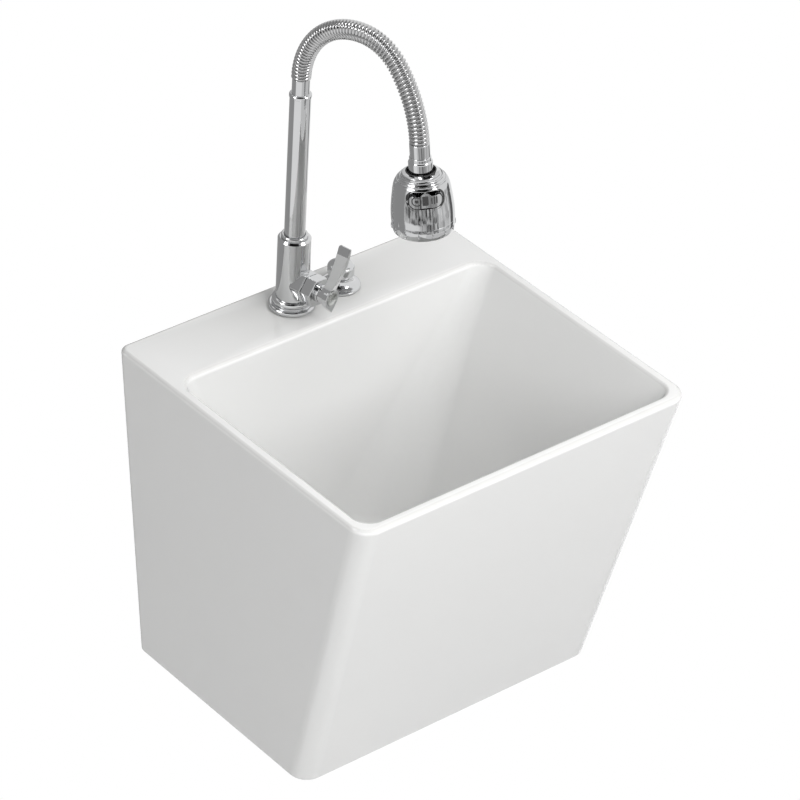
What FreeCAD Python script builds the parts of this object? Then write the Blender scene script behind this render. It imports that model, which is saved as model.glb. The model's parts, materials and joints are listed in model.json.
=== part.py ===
import FreeCAD, Part
import math
import os

# Wall-hung ceramic mop sink with a swivel tap, a gooseneck spray and a pull-up waste.
# The wall is the plane y = 0, the front faces -Y, and z = 0 is the line of the two wall bolts.

V = FreeCAD.Vector
os.makedirs("parts", exist_ok=True)

# Overrun of every cut, and the two clearances that fits are made with
overrun = 1.0
run_gap = 0.05
seat_gap = 0.3

# Basin
basin_w = 400.0
basin_d = 376.0
basin_h = 358.0
foot_w = 366.0
foot_front = 286.0
foot_setback = 20.0
wall_t = 12.0
deck_t = 14.0
deck_d = 82.0
corner_front_r = 20.0
corner_back_r = 10.0
rim_round = 5.0
foot_round = 4.0
bolt_drop = 60.0
bolt_x = 140.0
bolt_hole_r = 7.0
rib_w = 38.0
rib_lift = 24.0
window_w = 170.0
window_top = 30.0
window_bottom = 190.0

# Bowl inside the basin
bowl_depth = 305.0
bowl_floor_w = 196.0
bowl_floor_back = 38.0
bowl_floor_front = 251.0
bowl_top_r = 18.0
bowl_floor_r = 64.0
bowl_floor_round = 26.0

# Tap on the deck: its place, and the way that its lever and spout face
tap_x = -19.6
tap_back = 39.5
tap_yaw = 11.0
deck_hole_r = 17.5
tap_r = 16.35
tap_h = 80.0
tap_edge = 2.0
tap_flange_r = 23.3
tap_flange_h = 4.2
tap_step_r = 19.6
tap_step_h = 3.4
tap_gasket_t = 1.2
shank_r = 10.48
shank_bore_r = 7.0
shank_drop = 64.0
shank_free = 30.0
relief_w = 1.5
relief_t = 0.6
nut_washer_r = 24.0
nut_washer_t = 3.0
nut_plate_t = 2.0
shank_nut_flats = 32.0
shank_nut_h = 9.0

# Valve and lever, on an axis that leaves the tap at this height
valve_z = 30.0
branch_len = 22.0
cartridge_r = 8.6
cartridge_len = 18.0
bonnet_flats = 24.0
bonnet_len = 12.0
gland_r = 9.0
gland_len = 3.6
spindle_r = 4.0
hub_r = 8.6
hub_len = 12.0
lever_gap = 0.4
hub_plate_r = 9.8
hub_plate_t = 5.4
hub_tip_drop = 15.4
blade_up = 65.4
blade_root_up = 4.0
blade_lean = 17.4
blade_depth = 12.2
blade_root_depth = 9.6
blade_bow = 3.5
blade_corner = 3.0
blade_top_w = 4.8
blade_wide_w = 9.4
blade_wide_up = 37.0
blade_neck_w = 7.8
blade_neck_up = 16.0
cap_r = 7.2
cap_t = 1.2
cap_recess = 0.8
saddle_round = 4.6

# Riser that turns in the tap, with its collar and seals
riser_r = 10.3
riser_bore_r = 8.7
riser_top = 236.0
riser_seat = 26.0
collar_r = 13.2
collar_t = 3.2
collar_edge = 0.9
seal_r = 0.9
seal_pitch = 8.0

# Gooseneck: ferrules, four tangent bends with their turns, and the ribs
ferrule_r = 8.6
ferrule_len = 20.0
ferrule_ring_r = 10.9
ferrule_ring_t = 3.6
bend_r = (78.0, 75.5, 51.5, 130.0)
bend_angles = (40.0, 50.0, 50.0, 33.0)
hose_bore_r = 5.0
rib_crest_r = 9.6
rib_valley_r = 8.7
rib_count = 56
rib_shares = (0.0, 0.28, 0.66, 0.94)
end_ferrule_r = 9.7
end_ferrule_len = 13.5
swivel_r = 11.6
swivel_len = 15.5
swivel_edge = 1.4
swivel_neck_r = 10.4
swivel_neck_len = 4.0

# Spray head, about the centre of its ball
ball_r = 8.0
ball_stem_r = 4.6
ball_drop = 5.0
head_top = 6.0
head_bottom = 43.0
head_wall = 2.6
head_mouth_r = 14.1
head_lip_r = 18.6
head_cap_proud = 0.8
head_shoulder_r = 26.0
head_mid_r = 30.2
head_max_r = 31.4
head_edge = 1.4
head_turn = -42.0
seat_r = 16.0
seat_mouth_r = 6.2
seat_up = 2.8
seat_down = 7.0
core_r = 18.6
ring_h = 13.0
ring_foot_r = 29.6
ring_bore_r = 24.6
plate_t = 3.0
plate_inset = 2.0
jet_r = 1.1
jet_count = 12
jet_ring_r = 18.5
aerator_r = 9.0
aerator_t = 2.4
switch_w = 36.0
switch_h = 16.4
switch_drop = 19.0
switch_gap = 0.8
switch_proud = 0.9
switch_depth = 8.5
switch_pin_r = 1.5
saddle_r = 46.0
saddle_cut = 1.5

# Pull-up knob on the deck
knob_x = 40.5
knob_back = 39.0
knob_hole_r = 11.5
knob_gasket_t = 1.0
knob_flange_r = 20.4
knob_flange_edge = 2.2
knob_flange_h = 11.0
knob_neck_r = 7.6
knob_lip_r = 10.0
knob_r = 13.4
knob_base_z = 13.0
knob_top_z = 27.0
knob_dome = 2.4
knob_lift = 12.0
knob_housing_r = 9.9
knob_housing_drop = 48.0
knob_stem_r = 3.0
knob_stem_drop = 70.0
knob_clamp_r = 5.0
knob_clamp_h = 8.0
knob_nut_flats = 28.0
knob_nut_h = 7.0
knob_washer_r = 17.0
knob_washer_t = 2.0

# Pull-up waste in the bowl floor
drain_back = 152.0
drain_hole_r = 22.5
drain_flange_r = 32.0
drain_flange_t = 2.4
drain_gasket_t = 1.0
drain_tube_r = 20.0
drain_bore_r = 17.6
drain_tube_drop = 46.0
drain_ring_r = 30.0
drain_ring_t = 5.0
drain_washer_t = 1.6
drain_nut_r = 29.0
drain_nut_h = 9.0
drain_lug_w = 8.0
drain_body_r = 24.0
drain_body_drop = 82.0
drain_body_lap = 14.0
drain_floor_t = 4.0
drain_socket_r = 7.0
drain_socket_len = 16.0
drain_socket_bore_r = 3.5
spider_t = 3.0
spider_h = 6.0
spider_hub_r = 6.0
plug_r = 21.0
plug_t = 3.0
plug_dome = 2.2
plug_seal_t = 2.0
plug_stem_r = 3.0
plug_lift = 10.0
tail_r = 16.0
tail_wall = 1.5
tail_len = 84.0
tail_free = 62.0
tail_nut_r = 21.5
tail_nut_h = 14.0
tail_seal_t = 3.0
tail_lap = 8.0

deck_z = bolt_drop
foot_z = deck_z - basin_h
floor_z = deck_z - bowl_depth


def save(node, shape):
    shape.exportStep("parts/" + node + ".step")
    print(node, len(shape.Solids), round(shape.Volume, 1))


def turned(points):
    # A solid of revolution about Z; a point with four values bends through its first two
    edges = []
    at = points[0]
    for step in points[1:] + [points[0]]:
        end = step[-2:]
        if len(step) == 4:
            edges.append(Part.Arc(V(at[0], 0, at[1]), V(step[0], 0, step[1]), V(end[0], 0, end[1])).toShape())
        elif end != at[-2:]:
            edges.append(Part.LineSegment(V(at[0], 0, at[1]), V(end[0], 0, end[1])).toShape())
        at = end
    return Part.Face(Part.Wire(edges)).revolve(V(0, 0, 0), V(0, 0, 1), 360)


def dome(radius, base, top):
    # The last bend of a turned outline: a shallow dome that meets the axis square
    height = top - base
    ball = (radius * radius + height * height) / (2 * height)
    half = math.asin(radius / ball) / 2
    return (ball * math.sin(half), top - ball + ball * math.cos(half), 0, top)


def tube(outer, inner, low, high):
    return turned([(inner, low), (outer, low), (outer, high), (inner, high)])


def rod(radius, low, high):
    return Part.makeCylinder(radius, high - low, V(0, 0, low))


def block(low, high):
    size = [b - a for a, b in zip(low, high)]
    return Part.makeBox(size[0], size[1], size[2], V(*low))


def hexagon(flats, low, high):
    corner = flats / math.sqrt(3)
    points = [V(corner * math.cos(math.radians(60 * i)), corner * math.sin(math.radians(60 * i)), low)
              for i in range(7)]
    return Part.Face(Part.makePolygon(points)).extrude(V(0, 0, high - low))


def moved(shape, x, y, z):
    out = shape.copy()
    out.translate(V(x, y, z))
    return out


def turn_to_x(shape):
    # Lays a part that was made along +Z down along +X
    out = shape.copy()
    out.rotate(V(0, 0, 0), V(0, 1, 0), 90)
    return out


def on_tap(shape):
    # From the tap's frame (deck at z = 0, lever towards +X) to the basin's
    out = shape.copy()
    out.rotate(V(0, 0, 0), V(0, 0, 1), tap_yaw - 90)
    out.translate(V(tap_x, -tap_back, deck_z))
    return out


def on_knob(shape):
    return moved(shape, knob_x, -knob_back, deck_z)


def on_drain(shape):
    return moved(shape, 0, -drain_back, floor_z)


def frustum(top, low):
    # A solid with flat sides between two levels, each a half width, back y, front y and height
    rings = []
    for half_w, back, front, z in (top, low):
        rings.append([V(half_w, back, z), V(-half_w, back, z), V(-half_w, front, z), V(half_w, front, z)])
    faces = [Part.Face(Part.makePolygon(ring + ring[:1])) for ring in rings]
    for i in range(4):
        j = (i + 1) % 4
        side = [rings[0][i], rings[0][j], rings[1][j], rings[1][i], rings[0][i]]
        faces.append(Part.Face(Part.makePolygon(side)))
    return Part.Solid(Part.Shell(faces))


def round_corners(shape, level, y, top_r, low_r):
    # Rounds the two upright edges that come up to this level at y, from one radius to another
    near = overrun / 100
    for side in (-1, 1):
        corner = V(side * level[0], y, level[3])
        for edge in shape.Edges:
            ends = [vertex.Point for vertex in edge.Vertexes]
            upright = edge.BoundBox.ZLength > bowl_depth / 2
            if upright and min(end.distanceToPoint(corner) for end in ends) < near:
                if top_r == low_r:
                    shape = shape.makeFillet(top_r, [edge])
                elif ends[0].z > ends[1].z:
                    shape = shape.makeFillet(top_r, low_r, [edge])
                else:
                    shape = shape.makeFillet(low_r, top_r, [edge])
                break
    return shape


def shell_level(drop, inset):
    # The basin's outer sides at a depth under the deck, drawn in by a wall
    share = drop / basin_h
    half_w = basin_w / 2 + share * (foot_w - basin_w) / 2
    front = basin_d + share * (foot_front - basin_d)
    return (half_w - inset, -share * foot_setback - inset, inset - front, deck_z - drop)


def bowl_level(drop, grow):
    # The bowl's sides at a depth under the deck, grown by a wall
    share = drop / bowl_depth
    top_w = basin_w / 2 - wall_t
    top_front = basin_d - wall_t
    half_w = top_w + share * (bowl_floor_w / 2 - top_w)
    back = deck_d + share * (bowl_floor_back - deck_d)
    front = top_front + share * (bowl_floor_front - top_front)
    return (half_w + grow, grow - back, -front - grow, deck_z - drop)


def shell_solid(top_drop, low_drop, inset):
    top = shell_level(top_drop, inset)
    solid = frustum(top, shell_level(low_drop, inset))
    front_r = max(corner_front_r - inset, corner_front_r / 2)
    back_r = max(corner_back_r - inset, corner_back_r / 2)
    solid = round_corners(solid, top, top[2], front_r, front_r)
    return round_corners(solid, top, top[1], back_r, back_r)


def bowl_solid(top_drop, low_drop, grow, low_r):
    top = bowl_level(top_drop, grow)
    solid = frustum(top, bowl_level(low_drop, grow))
    for y in (top[1], top[2]):
        solid = round_corners(solid, top, y, bowl_top_r + grow, low_r)
    return solid


def loft(wires):
    return Part.makeLoft(wires, True, True)


def edges_at(shape, z, box):
    near = overrun / 100
    out = []
    for edge in shape.Edges:
        b = edge.BoundBox
        flat = abs(b.ZMin - z) < near and abs(b.ZMax - z) < near
        if flat and b.XMin > box[0] and b.XMax < box[1] and b.YMin > box[2] and b.YMax < box[3]:
            out.append(edge)
    return out


def bowl_space():
    # The hollow of the bowl: its corners open out towards a rounded floor, and it runs up past the deck
    space = bowl_solid(-rim_round, bowl_depth, 0, bowl_floor_r)
    everywhere = (-basin_w, basin_w, -2 * basin_d, basin_d)
    return space.makeFillet(bowl_floor_round, edges_at(space, floor_z, everywhere))


def service_space():
    # The hollow between the bowl and the outer skin, open underneath
    space = shell_solid(deck_t, basin_h + overrun, wall_t)
    return space.cut(bowl_solid(0, bowl_depth + wall_t, wall_t, bowl_top_r + wall_t))


def back_ribs():
    # Two upright ribs that fill out the back's taper, so that they bear on the wall
    ribs = []
    high = deck_z - deck_t
    low = foot_z + rib_lift
    for side in (-1, 1):
        x = side * bolt_x - rib_w / 2
        points = [V(x, 0, high), V(x, 0, low), V(x, -foot_setback - wall_t / 2, low), V(x, -wall_t / 2, high)]
        ribs.append(Part.Face(Part.makePolygon(points + points[:1])).extrude(V(rib_w, 0, 0)))
    return ribs


def basin():
    outer = shell_solid(0, basin_h, 0)
    everywhere = (-basin_w, basin_w, -2 * basin_d, basin_d)
    outer = outer.makeFillet(foot_round, edges_at(outer, foot_z, everywhere))
    outer = outer.makeFillet(rim_round, edges_at(outer, deck_z, everywhere))
    outer = outer.cut(service_space())
    outer = outer.fuse(back_ribs())
    outer = outer.cut(bowl_space())
    inside = (rim_round - basin_w / 2, basin_w / 2 - rim_round, rim_round - basin_d, -deck_d / 2)
    outer = outer.makeFillet(rim_round, edges_at(outer, deck_z, inside))
    cuts = []
    for side in (-1, 1):
        hole = Part.makeCylinder(bolt_hole_r, deck_d, V(side * bolt_x, overrun, 0), V(0, -1, 0))
        cuts.append(hole.common(block((-basin_w, -deck_d / 2, foot_z), (basin_w, overrun, deck_z))))
    window_depth = wall_t + foot_setback
    cuts.append(block((-window_w / 2, -window_depth, deck_z - window_bottom),
                      (window_w / 2, overrun, deck_z - window_top)))
    cuts.append(moved(rod(deck_hole_r, -deck_t - overrun, overrun), tap_x, -tap_back, deck_z))
    cuts.append(moved(rod(knob_hole_r, -deck_t - overrun, overrun), knob_x, -knob_back, deck_z))
    cuts.append(on_drain(rod(drain_hole_r, -wall_t - overrun, overrun)))
    for cut in cuts:
        outer = outer.cut(cut)
    return outer


def tap_fixings():
    save("tap_gasket", on_tap(tube(tap_flange_r - 1.5 * tap_gasket_t, deck_hole_r, 0, tap_gasket_t)))
    low = tap_gasket_t
    bore = tap_r + run_gap
    flange = turned([(bore, low), (tap_flange_r, low), (tap_flange_r, low + tap_flange_h * 0.7),
                     (tap_flange_r - tap_flange_h * 0.3, low + tap_flange_h), (tap_step_r, low + tap_flange_h),
                     (tap_step_r, low + tap_flange_h + tap_step_h * 0.7),
                     (tap_step_r - tap_step_h * 0.3, low + tap_flange_h + tap_step_h),
                     (bore, low + tap_flange_h + tap_step_h)])
    save("tap_flange", on_tap(flange))
    under = -deck_t
    inner = shank_r + seat_gap
    save("shank_washer", on_tap(tube(nut_washer_r, inner, under - nut_washer_t, under)))
    under = under - nut_washer_t
    save("shank_plate", on_tap(tube(nut_washer_r, inner, under - nut_plate_t, under)))
    under = under - nut_plate_t
    nut = hexagon(shank_nut_flats, under - shank_nut_h, under).cut(rod(inner - seat_gap + run_gap, under - shank_nut_h,
                                                                     under))
    save("shank_nut", on_tap(nut))
    shank = tube(shank_r, shank_bore_r, -shank_drop, tap_gasket_t)
    relief = shank_free - shank_drop
    shank = shank.cut(tube(shank_r + overrun, shank_r - relief_t, relief, relief + relief_w))
    save("shank", on_tap(shank))


def saddle_edges(body):
    # The edges where the branch leaves the round body
    out = []
    for edge in body.Edges:
        b = edge.BoundBox
        if b.ZMin > tap_gasket_t + overrun and b.ZMax < tap_h - tap_edge - overrun and b.XMax < tap_r + overrun:
            out.append(edge)
    print("saddle edges", len(out))
    return out


def tap_body():
    bore_floor = tap_h - riser_seat
    body = turned([(0, tap_gasket_t), (tap_r, tap_gasket_t), (tap_r, tap_h - tap_edge),
                   (tap_r - tap_edge, tap_h), (0, tap_h)])
    root = moved(turn_to_x(rod(bonnet_flats / 2 + run_gap, 0, branch_len)), 0, 0, valve_z)
    body = body.fuse(root).removeSplitter()
    body = body.makeFillet(saddle_round, saddle_edges(body))
    body = body.fuse(moved(turn_to_x(hexagon(bonnet_flats, 0, branch_len)), 0, 0, valve_z))
    body = body.cut(rod(shank_bore_r, 0, valve_z))
    body = body.cut(rod(shank_bore_r, valve_z, bore_floor + overrun))
    body = body.cut(rod(riser_r + run_gap, bore_floor, tap_h + overrun))
    pocket = turn_to_x(rod(cartridge_r + run_gap, 0, cartridge_len + overrun))
    body = body.cut(moved(pocket, branch_len - cartridge_len, 0, valve_z))
    return on_tap(body)


def valve_parts():
    start = branch_len - cartridge_len + seat_gap
    cartridge = rod(cartridge_r, start, branch_len)
    cartridge = cartridge.fuse(rod(spindle_r + 2 * lever_gap, branch_len, branch_len + bonnet_len / 2))
    cartridge = cartridge.cut(rod(spindle_r + run_gap, branch_len - bonnet_len / 2, branch_len + bonnet_len))
    save("valve_cartridge", on_tap(moved(turn_to_x(cartridge), 0, 0, valve_z)))
    edge = turned([(0, branch_len), (bonnet_flats * 0.53, branch_len),
                   (bonnet_flats * 0.6, branch_len + tap_edge), (bonnet_flats * 0.6, branch_len + bonnet_len - tap_edge),
                   (bonnet_flats * 0.53, branch_len + bonnet_len), (0, branch_len + bonnet_len)])
    bonnet = hexagon(bonnet_flats, branch_len, branch_len + bonnet_len).common(edge)
    bonnet = bonnet.cut(rod(spindle_r + 2 * lever_gap + run_gap, branch_len, branch_len + bonnet_len))
    save("bonnet_nut", on_tap(moved(turn_to_x(bonnet), 0, 0, valve_z)))
    start = branch_len + bonnet_len
    gland = turned([(spindle_r + run_gap, start), (gland_r, start), (gland_r, start + gland_len * 0.7),
                    (gland_r - gland_len * 0.3, start + gland_len), (spindle_r + run_gap, start + gland_len)])
    save("gland_nut", on_tap(moved(turn_to_x(gland), 0, 0, valve_z)))
    start = branch_len - bonnet_len / 2 + seat_gap
    spindle = rod(spindle_r, start, lever_start() + hub_len - cap_recess - cap_t - seat_gap)
    save("spindle", on_tap(moved(turn_to_x(spindle), 0, 0, valve_z)))


def lever_start():
    return branch_len + bonnet_len + gland_len + lever_gap


def hub_plate():
    # The plate round the hub's face, drawn out to a point below
    near = lever_start() + hub_len - hub_plate_t
    touch = math.acos(hub_plate_r / hub_tip_drop)
    side = hub_plate_r * math.sin(touch)
    low = valve_z - hub_plate_r * math.cos(touch)
    points = [V(near, 0, valve_z), V(near, side, low), V(near, 0, valve_z - hub_tip_drop), V(near, -side, low)]
    point = Part.Face(Part.makePolygon(points + points[:1])).extrude(V(hub_plate_t, 0, 0))
    return moved(turn_to_x(rod(hub_plate_r, near, near + hub_plate_t)), 0, 0, valve_z).fuse(point)


def blade():
    # Side view: two bowed edges that lean forwards; front view: widest above its middle
    root = valve_z + blade_root_up
    top = valve_z + blade_up
    back = lever_start() + seat_gap
    front = back + blade_root_depth
    back_top = back + blade_lean
    front_top = back_top + blade_depth
    mid = (root + top) / 2
    inner = Part.Arc(V(back, 0, root), V((back + back_top) / 2 + blade_bow, 0, mid),
                     V(back_top, 0, top - blade_corner))
    corner = Part.Arc(V(back_top, 0, top - blade_corner),
                      V(back_top + blade_corner * 0.29, 0, top - blade_corner * 0.29), V(back_top + blade_corner, 0, top))
    outer = Part.Arc(V(front_top, 0, top), V((front + front_top) / 2 + blade_bow, 0, mid), V(front, 0, root))
    edges = [inner, corner, Part.LineSegment(corner.EndPoint, outer.StartPoint), outer,
             Part.LineSegment(outer.EndPoint, inner.StartPoint)]
    side = Part.Face(Part.Wire([edge.toShape() for edge in edges])).extrude(V(0, 2 * hub_r, 0))
    half = [(blade_top_w / 2, top + overrun), (blade_wide_w / 2, valve_z + blade_wide_up),
            (blade_neck_w / 2, valve_z + blade_neck_up), (hub_r, valve_z)]
    curves = []
    for way in (1, -1):
        curve = Part.BSplineCurve()
        curve.interpolate([V(0, way * y, z) for y, z in half])
        curves.append(curve.toShape())
    ends = [Part.LineSegment(V(0, half[i][0], half[i][1]), V(0, -half[i][0], half[i][1])).toShape() for i in (0, -1)]
    outline = Part.Wire([curves[0], ends[0], curves[1], ends[1]])
    front_view = Part.Face(outline).extrude(V(2 * front_top, 0, 0))
    return moved(side, 0, -hub_r, 0).common(front_view)


def lever():
    face = lever_start() + hub_len
    hub = moved(turn_to_x(rod(hub_r, lever_start(), face - hub_plate_t / 2)), 0, 0, valve_z)
    grip = hub.fuse([hub_plate(), blade()]).removeSplitter()
    seat = face - cap_recess - cap_t
    bore = moved(turn_to_x(rod(spindle_r + run_gap, 0, seat)), 0, 0, valve_z)
    pocket = moved(turn_to_x(rod(cap_r + run_gap, seat, face + blade_lean + blade_depth)), 0, 0, valve_z)
    return grip.cut(bore).cut(pocket)


def lever_parts():
    save("lever", on_tap(lever()))
    seat = lever_start() + hub_len - cap_recess - cap_t
    save("lever_cap", on_tap(moved(turn_to_x(rod(cap_r, seat, seat + cap_t)), 0, 0, valve_z)))


def seal_ring(outer, width, z):
    # An O-ring with its round section cut to eight flats
    half = width / 2
    flat = half * math.tan(math.radians(22.5))
    mid = outer - half
    points = [(half, -flat), (half, flat), (flat, half), (-flat, half),
              (-half, flat), (-half, -flat), (-flat, -half), (flat, -half)]
    return turned([(mid + r, z + h) for r, h in points])


def riser_parts():
    low = tap_h - riser_seat + seat_gap
    riser = tube(riser_r, riser_bore_r, low, riser_top)
    seals = []
    for i in range(2):
        z = low + seal_pitch * (0.5 + i)
        riser = riser.cut(tube(riser_r + overrun, riser_r - 1.2 * seal_r, z - seal_r, z + seal_r))
        seals.append(seal_ring(riser_r, seal_r, z))
    save("riser", on_tap(riser))
    save("riser_seals", on_tap(Part.makeCompound(seals)))
    high = tap_h + collar_t
    collar = turned([(riser_r + seat_gap, tap_h), (collar_r, tap_h), (collar_r, high - collar_edge),
                     (collar_r - collar_edge, high), (riser_r + seat_gap, high)])
    save("riser_collar", on_tap(collar))
    ring_low = riser_top
    ferrule = turned([(hose_bore_r, riser_top - ferrule_len / 2), (riser_bore_r - run_gap, riser_top - ferrule_len / 2),
                      (riser_bore_r - run_gap, ring_low), (ferrule_ring_r, ring_low),
                      (ferrule_ring_r, ring_low + ferrule_ring_t * 0.7),
                      (ferrule_ring_r - ferrule_ring_t * 0.3, ring_low + ferrule_ring_t),
                      (ferrule_r, ring_low + ferrule_ring_t), (ferrule_r, riser_top + ferrule_len),
                      (hose_bore_r, riser_top + ferrule_len)])
    save("riser_ferrule", on_tap(ferrule))


def hose_frame(distance):
    # Point and heading at a distance along the gooseneck's four bends, in the spout's plane
    at = [0.0, riser_top + ferrule_len]
    heading = 90.0
    for radius, turn in zip(bend_r, bend_angles):
        length = radius * math.radians(turn)
        part = min(max(distance, 0), length)
        after = heading - math.degrees(part / radius)
        a, b = math.radians(heading), math.radians(after)
        at = [at[0] + radius * (math.sin(a) - math.sin(b)), at[1] + radius * (math.cos(b) - math.cos(a))]
        heading = after
        distance = distance - part
    return V(at[0], 0, at[1]), heading


def hose_length():
    return sum(r * math.radians(t) for r, t in zip(bend_r, bend_angles))


def hose_circle(distance, radius):
    at, heading = hose_frame(distance)
    along = V(math.cos(math.radians(heading)), 0, math.sin(math.radians(heading)))
    circle = Part.Circle(at, along, radius)
    circle.XAxis = V(0, 1, 0)
    return Part.Wire([circle.toShape()])


def flex_hose():
    pitch = hose_length() / rib_count
    radii = (rib_valley_r, rib_crest_r, rib_crest_r, rib_valley_r)
    wires = []
    for i in range(rib_count):
        for share, radius in zip(rib_shares, radii):
            wires.append(hose_circle((i + share) * pitch, radius))
    wires.append(hose_circle(hose_length(), rib_valley_r))
    skin = loft(wires)
    bore_path = []
    turned_so_far = 0.0
    for radius, turn in zip(bend_r, bend_angles):
        length = radius * math.radians(turn)
        spots = [hose_frame(turned_so_far + length * k / 2)[0] for k in range(3)]
        bore_path.append(Part.Arc(*spots).toShape())
        turned_so_far = turned_so_far + length
    profile = hose_circle(0, hose_bore_r)
    bore = Part.Wire(bore_path).makePipeShell([profile], True, False)
    print("gooseneck length", round(hose_length(), 1), "rib pitch", round(pitch, 2),
          "rib gap", round(pitch * (rib_shares[1] + 1 - rib_shares[2]), 2))
    return on_tap(skin.cut(bore))


def at_hose_end(shape):
    # Parts made with +Z back along the hose, from the hose's end at z = 0
    at, heading = hose_frame(hose_length())
    out = shape.copy()
    out.rotate(V(0, 0, 0), V(0, 1, 0), -90 - heading)
    out.translate(at)
    return on_tap(out)


def ball_z():
    return -end_ferrule_len - swivel_len - ball_drop


def hose_end_parts():
    ferrule = turned([(hose_bore_r, -end_ferrule_len), (end_ferrule_r, -end_ferrule_len),
                      (end_ferrule_r, -seat_gap * 2), (end_ferrule_r - seat_gap * 2, 0), (hose_bore_r, 0)])
    save("hose_ferrule", at_hose_end(ferrule))
    top = -end_ferrule_len
    low = top - swivel_len
    nut = turned([(hose_bore_r, low), (swivel_r - swivel_edge, low), (swivel_r, low + swivel_edge),
                  (swivel_r, top - swivel_neck_len - swivel_edge), (swivel_neck_r, top - swivel_neck_len),
                  (swivel_neck_r, top - swivel_edge / 2), (swivel_neck_r - swivel_edge / 2, top), (hose_bore_r, top)])
    nut = nut.cut(moved(Part.makeSphere(ball_r + seat_gap), 0, 0, ball_z()))
    save("swivel_nut", at_hose_end(nut))
    ball = moved(Part.makeSphere(ball_r), 0, 0, ball_z())
    stem = rod(ball_stem_r, ball_z(), low).fuse(rod(hose_bore_r - run_gap, low, low + swivel_neck_len))
    stem = ball.fuse(stem).removeSplitter()
    stem = stem.cut(rod(hose_bore_r / 2, ball_z() - 2 * ball_r, low + 2 * swivel_neck_len))
    save("ball_stem", at_hose_end(stem))


def on_head(shape):
    # From the head's frame (ball centre at 0, +Z up its axis, switch towards +X) to the basin's
    out = shape.copy()
    out.rotate(V(0, 0, 0), V(0, 0, 1), head_turn)
    out.translate(V(0, 0, ball_z()))
    return at_hose_end(out)


def stadium(width, height, near, far):
    # A prism along +X with round ends left and right, centred on the switch
    z = head_top - switch_drop
    r = height / 2
    reach = width / 2 - r
    bar = block((near, -reach, z - r), (far, reach, z + r))
    for side in (-1, 1):
        end = Part.makeCylinder(r, far - near, V(near, side * reach, z), V(1, 0, 0))
        bar = bar.fuse(end)
    return bar.removeSplitter()


def head_outside():
    # Outer outline from the mouth down to the seam, as radius and height
    lip = head_top - head_cap_proud
    return [(head_lip_r + head_edge * 0.6, lip), (head_lip_r + head_edge, lip - head_edge * 0.4),
            (head_lip_r + head_edge * 2, head_top - head_edge * 2.4),
            (head_shoulder_r - head_edge, head_top - head_edge * 3.4,
             head_shoulder_r, head_top - head_edge * 5),
            (head_mid_r - head_edge * 0.8, head_top - head_edge * 9,
             head_mid_r, head_top - head_edge * 14),
            (head_max_r - head_edge / 4, -head_bottom * 0.6, head_max_r, -head_bottom)]


def spray_shell():
    pocket_r = seat_r + run_gap
    inner_r = head_shoulder_r - head_wall
    lip = head_top - head_cap_proud
    shell = turned([(pocket_r, seat_up + seat_gap), (head_lip_r + run_gap, seat_up + seat_gap),
                    (head_lip_r + run_gap, lip)] + head_outside()
                   + [(head_max_r - head_wall, -head_bottom), (head_mid_r - head_wall, -switch_drop),
                      (inner_r, -seat_down - head_wall), (pocket_r, -seat_down - head_wall)])
    whole = turned([(0, lip), (head_lip_r, lip)] + head_outside() + [(0, -head_bottom)])
    frame = stadium(switch_w + 2 * head_wall, switch_h + 2 * head_wall, core_r + seat_gap, head_mid_r)
    shell = shell.fuse(frame.common(whole)).removeSplitter()
    shell = shell.cut(stadium(switch_w, switch_h, core_r, 2 * head_max_r))
    return on_head(shell.cut(switch_rod(0)))


def spray_cap():
    # The ring that closes the head over the ball's seat
    edge = head_cap_proud / 2
    cap = turned([(head_mouth_r, seat_up + seat_gap), (head_lip_r, seat_up + seat_gap), (head_lip_r, head_top - edge),
                  (head_lip_r - edge, head_top), (head_mouth_r, head_top)])
    return on_head(cap)


def ball_seat():
    ring = tube(seat_r, seat_mouth_r, -seat_down, seat_up)
    return on_head(ring.cut(Part.makeSphere(ball_r + run_gap)))


def spray_core():
    core = rod(core_r, -head_bottom + seat_gap, -seat_down - head_wall - seat_gap)
    return on_head(core.cut(rod(hose_bore_r, -head_bottom, -seat_down)))


def switch_pin_x():
    return head_mid_r - switch_depth / 2 - switch_proud


def spray_switch():
    button = stadium(switch_w - 2 * switch_gap, switch_h - 2 * switch_gap, switch_pin_x() - switch_depth / 4, head_max_r
                     + 2 * switch_proud)
    button = button.common(rod(head_mid_r + switch_proud, -head_bottom, head_top))
    saddle = moved(rod(saddle_r, -head_bottom, head_top), head_mid_r + switch_proud + saddle_r - saddle_cut, 0, 0)
    button = button.cut(saddle)
    return on_head(button.cut(switch_rod(run_gap)))


def switch_rod(gap):
    # The pin that the switch rocks on, held in the shell above and below it
    z = head_top - switch_drop
    half = switch_h / 2 + head_wall * 0.7
    return moved(rod(switch_pin_r + gap, z - half, z + half), switch_pin_x(), 0, 0)


def spray_mouth():
    top = -head_bottom
    low = top - ring_h
    ring = turned([(ring_bore_r, low), (ring_foot_r - head_edge, low), (ring_foot_r, low + head_edge),
                   ((ring_foot_r + head_max_r) / 2 + head_edge / 3, (low + top) / 2, head_max_r - head_edge / 3, top),
                   (ring_bore_r, top)])
    save("spray_ring", on_head(ring))
    plate = rod(ring_bore_r - run_gap, low + plate_inset, low + plate_inset + plate_t)
    plate = plate.cut(rod(aerator_r + run_gap, low, top))
    holes = []
    for i in range(jet_count):
        angle = 2 * math.pi * i / jet_count
        holes.append(moved(rod(jet_r, low, top), jet_ring_r * math.cos(angle), jet_ring_r * math.sin(angle), 0))
    plate = plate.cut(holes)
    save("jet_plate", on_head(plate))
    save("aerator", on_head(rod(aerator_r, low + plate_inset, low + plate_inset + aerator_t)))


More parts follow.
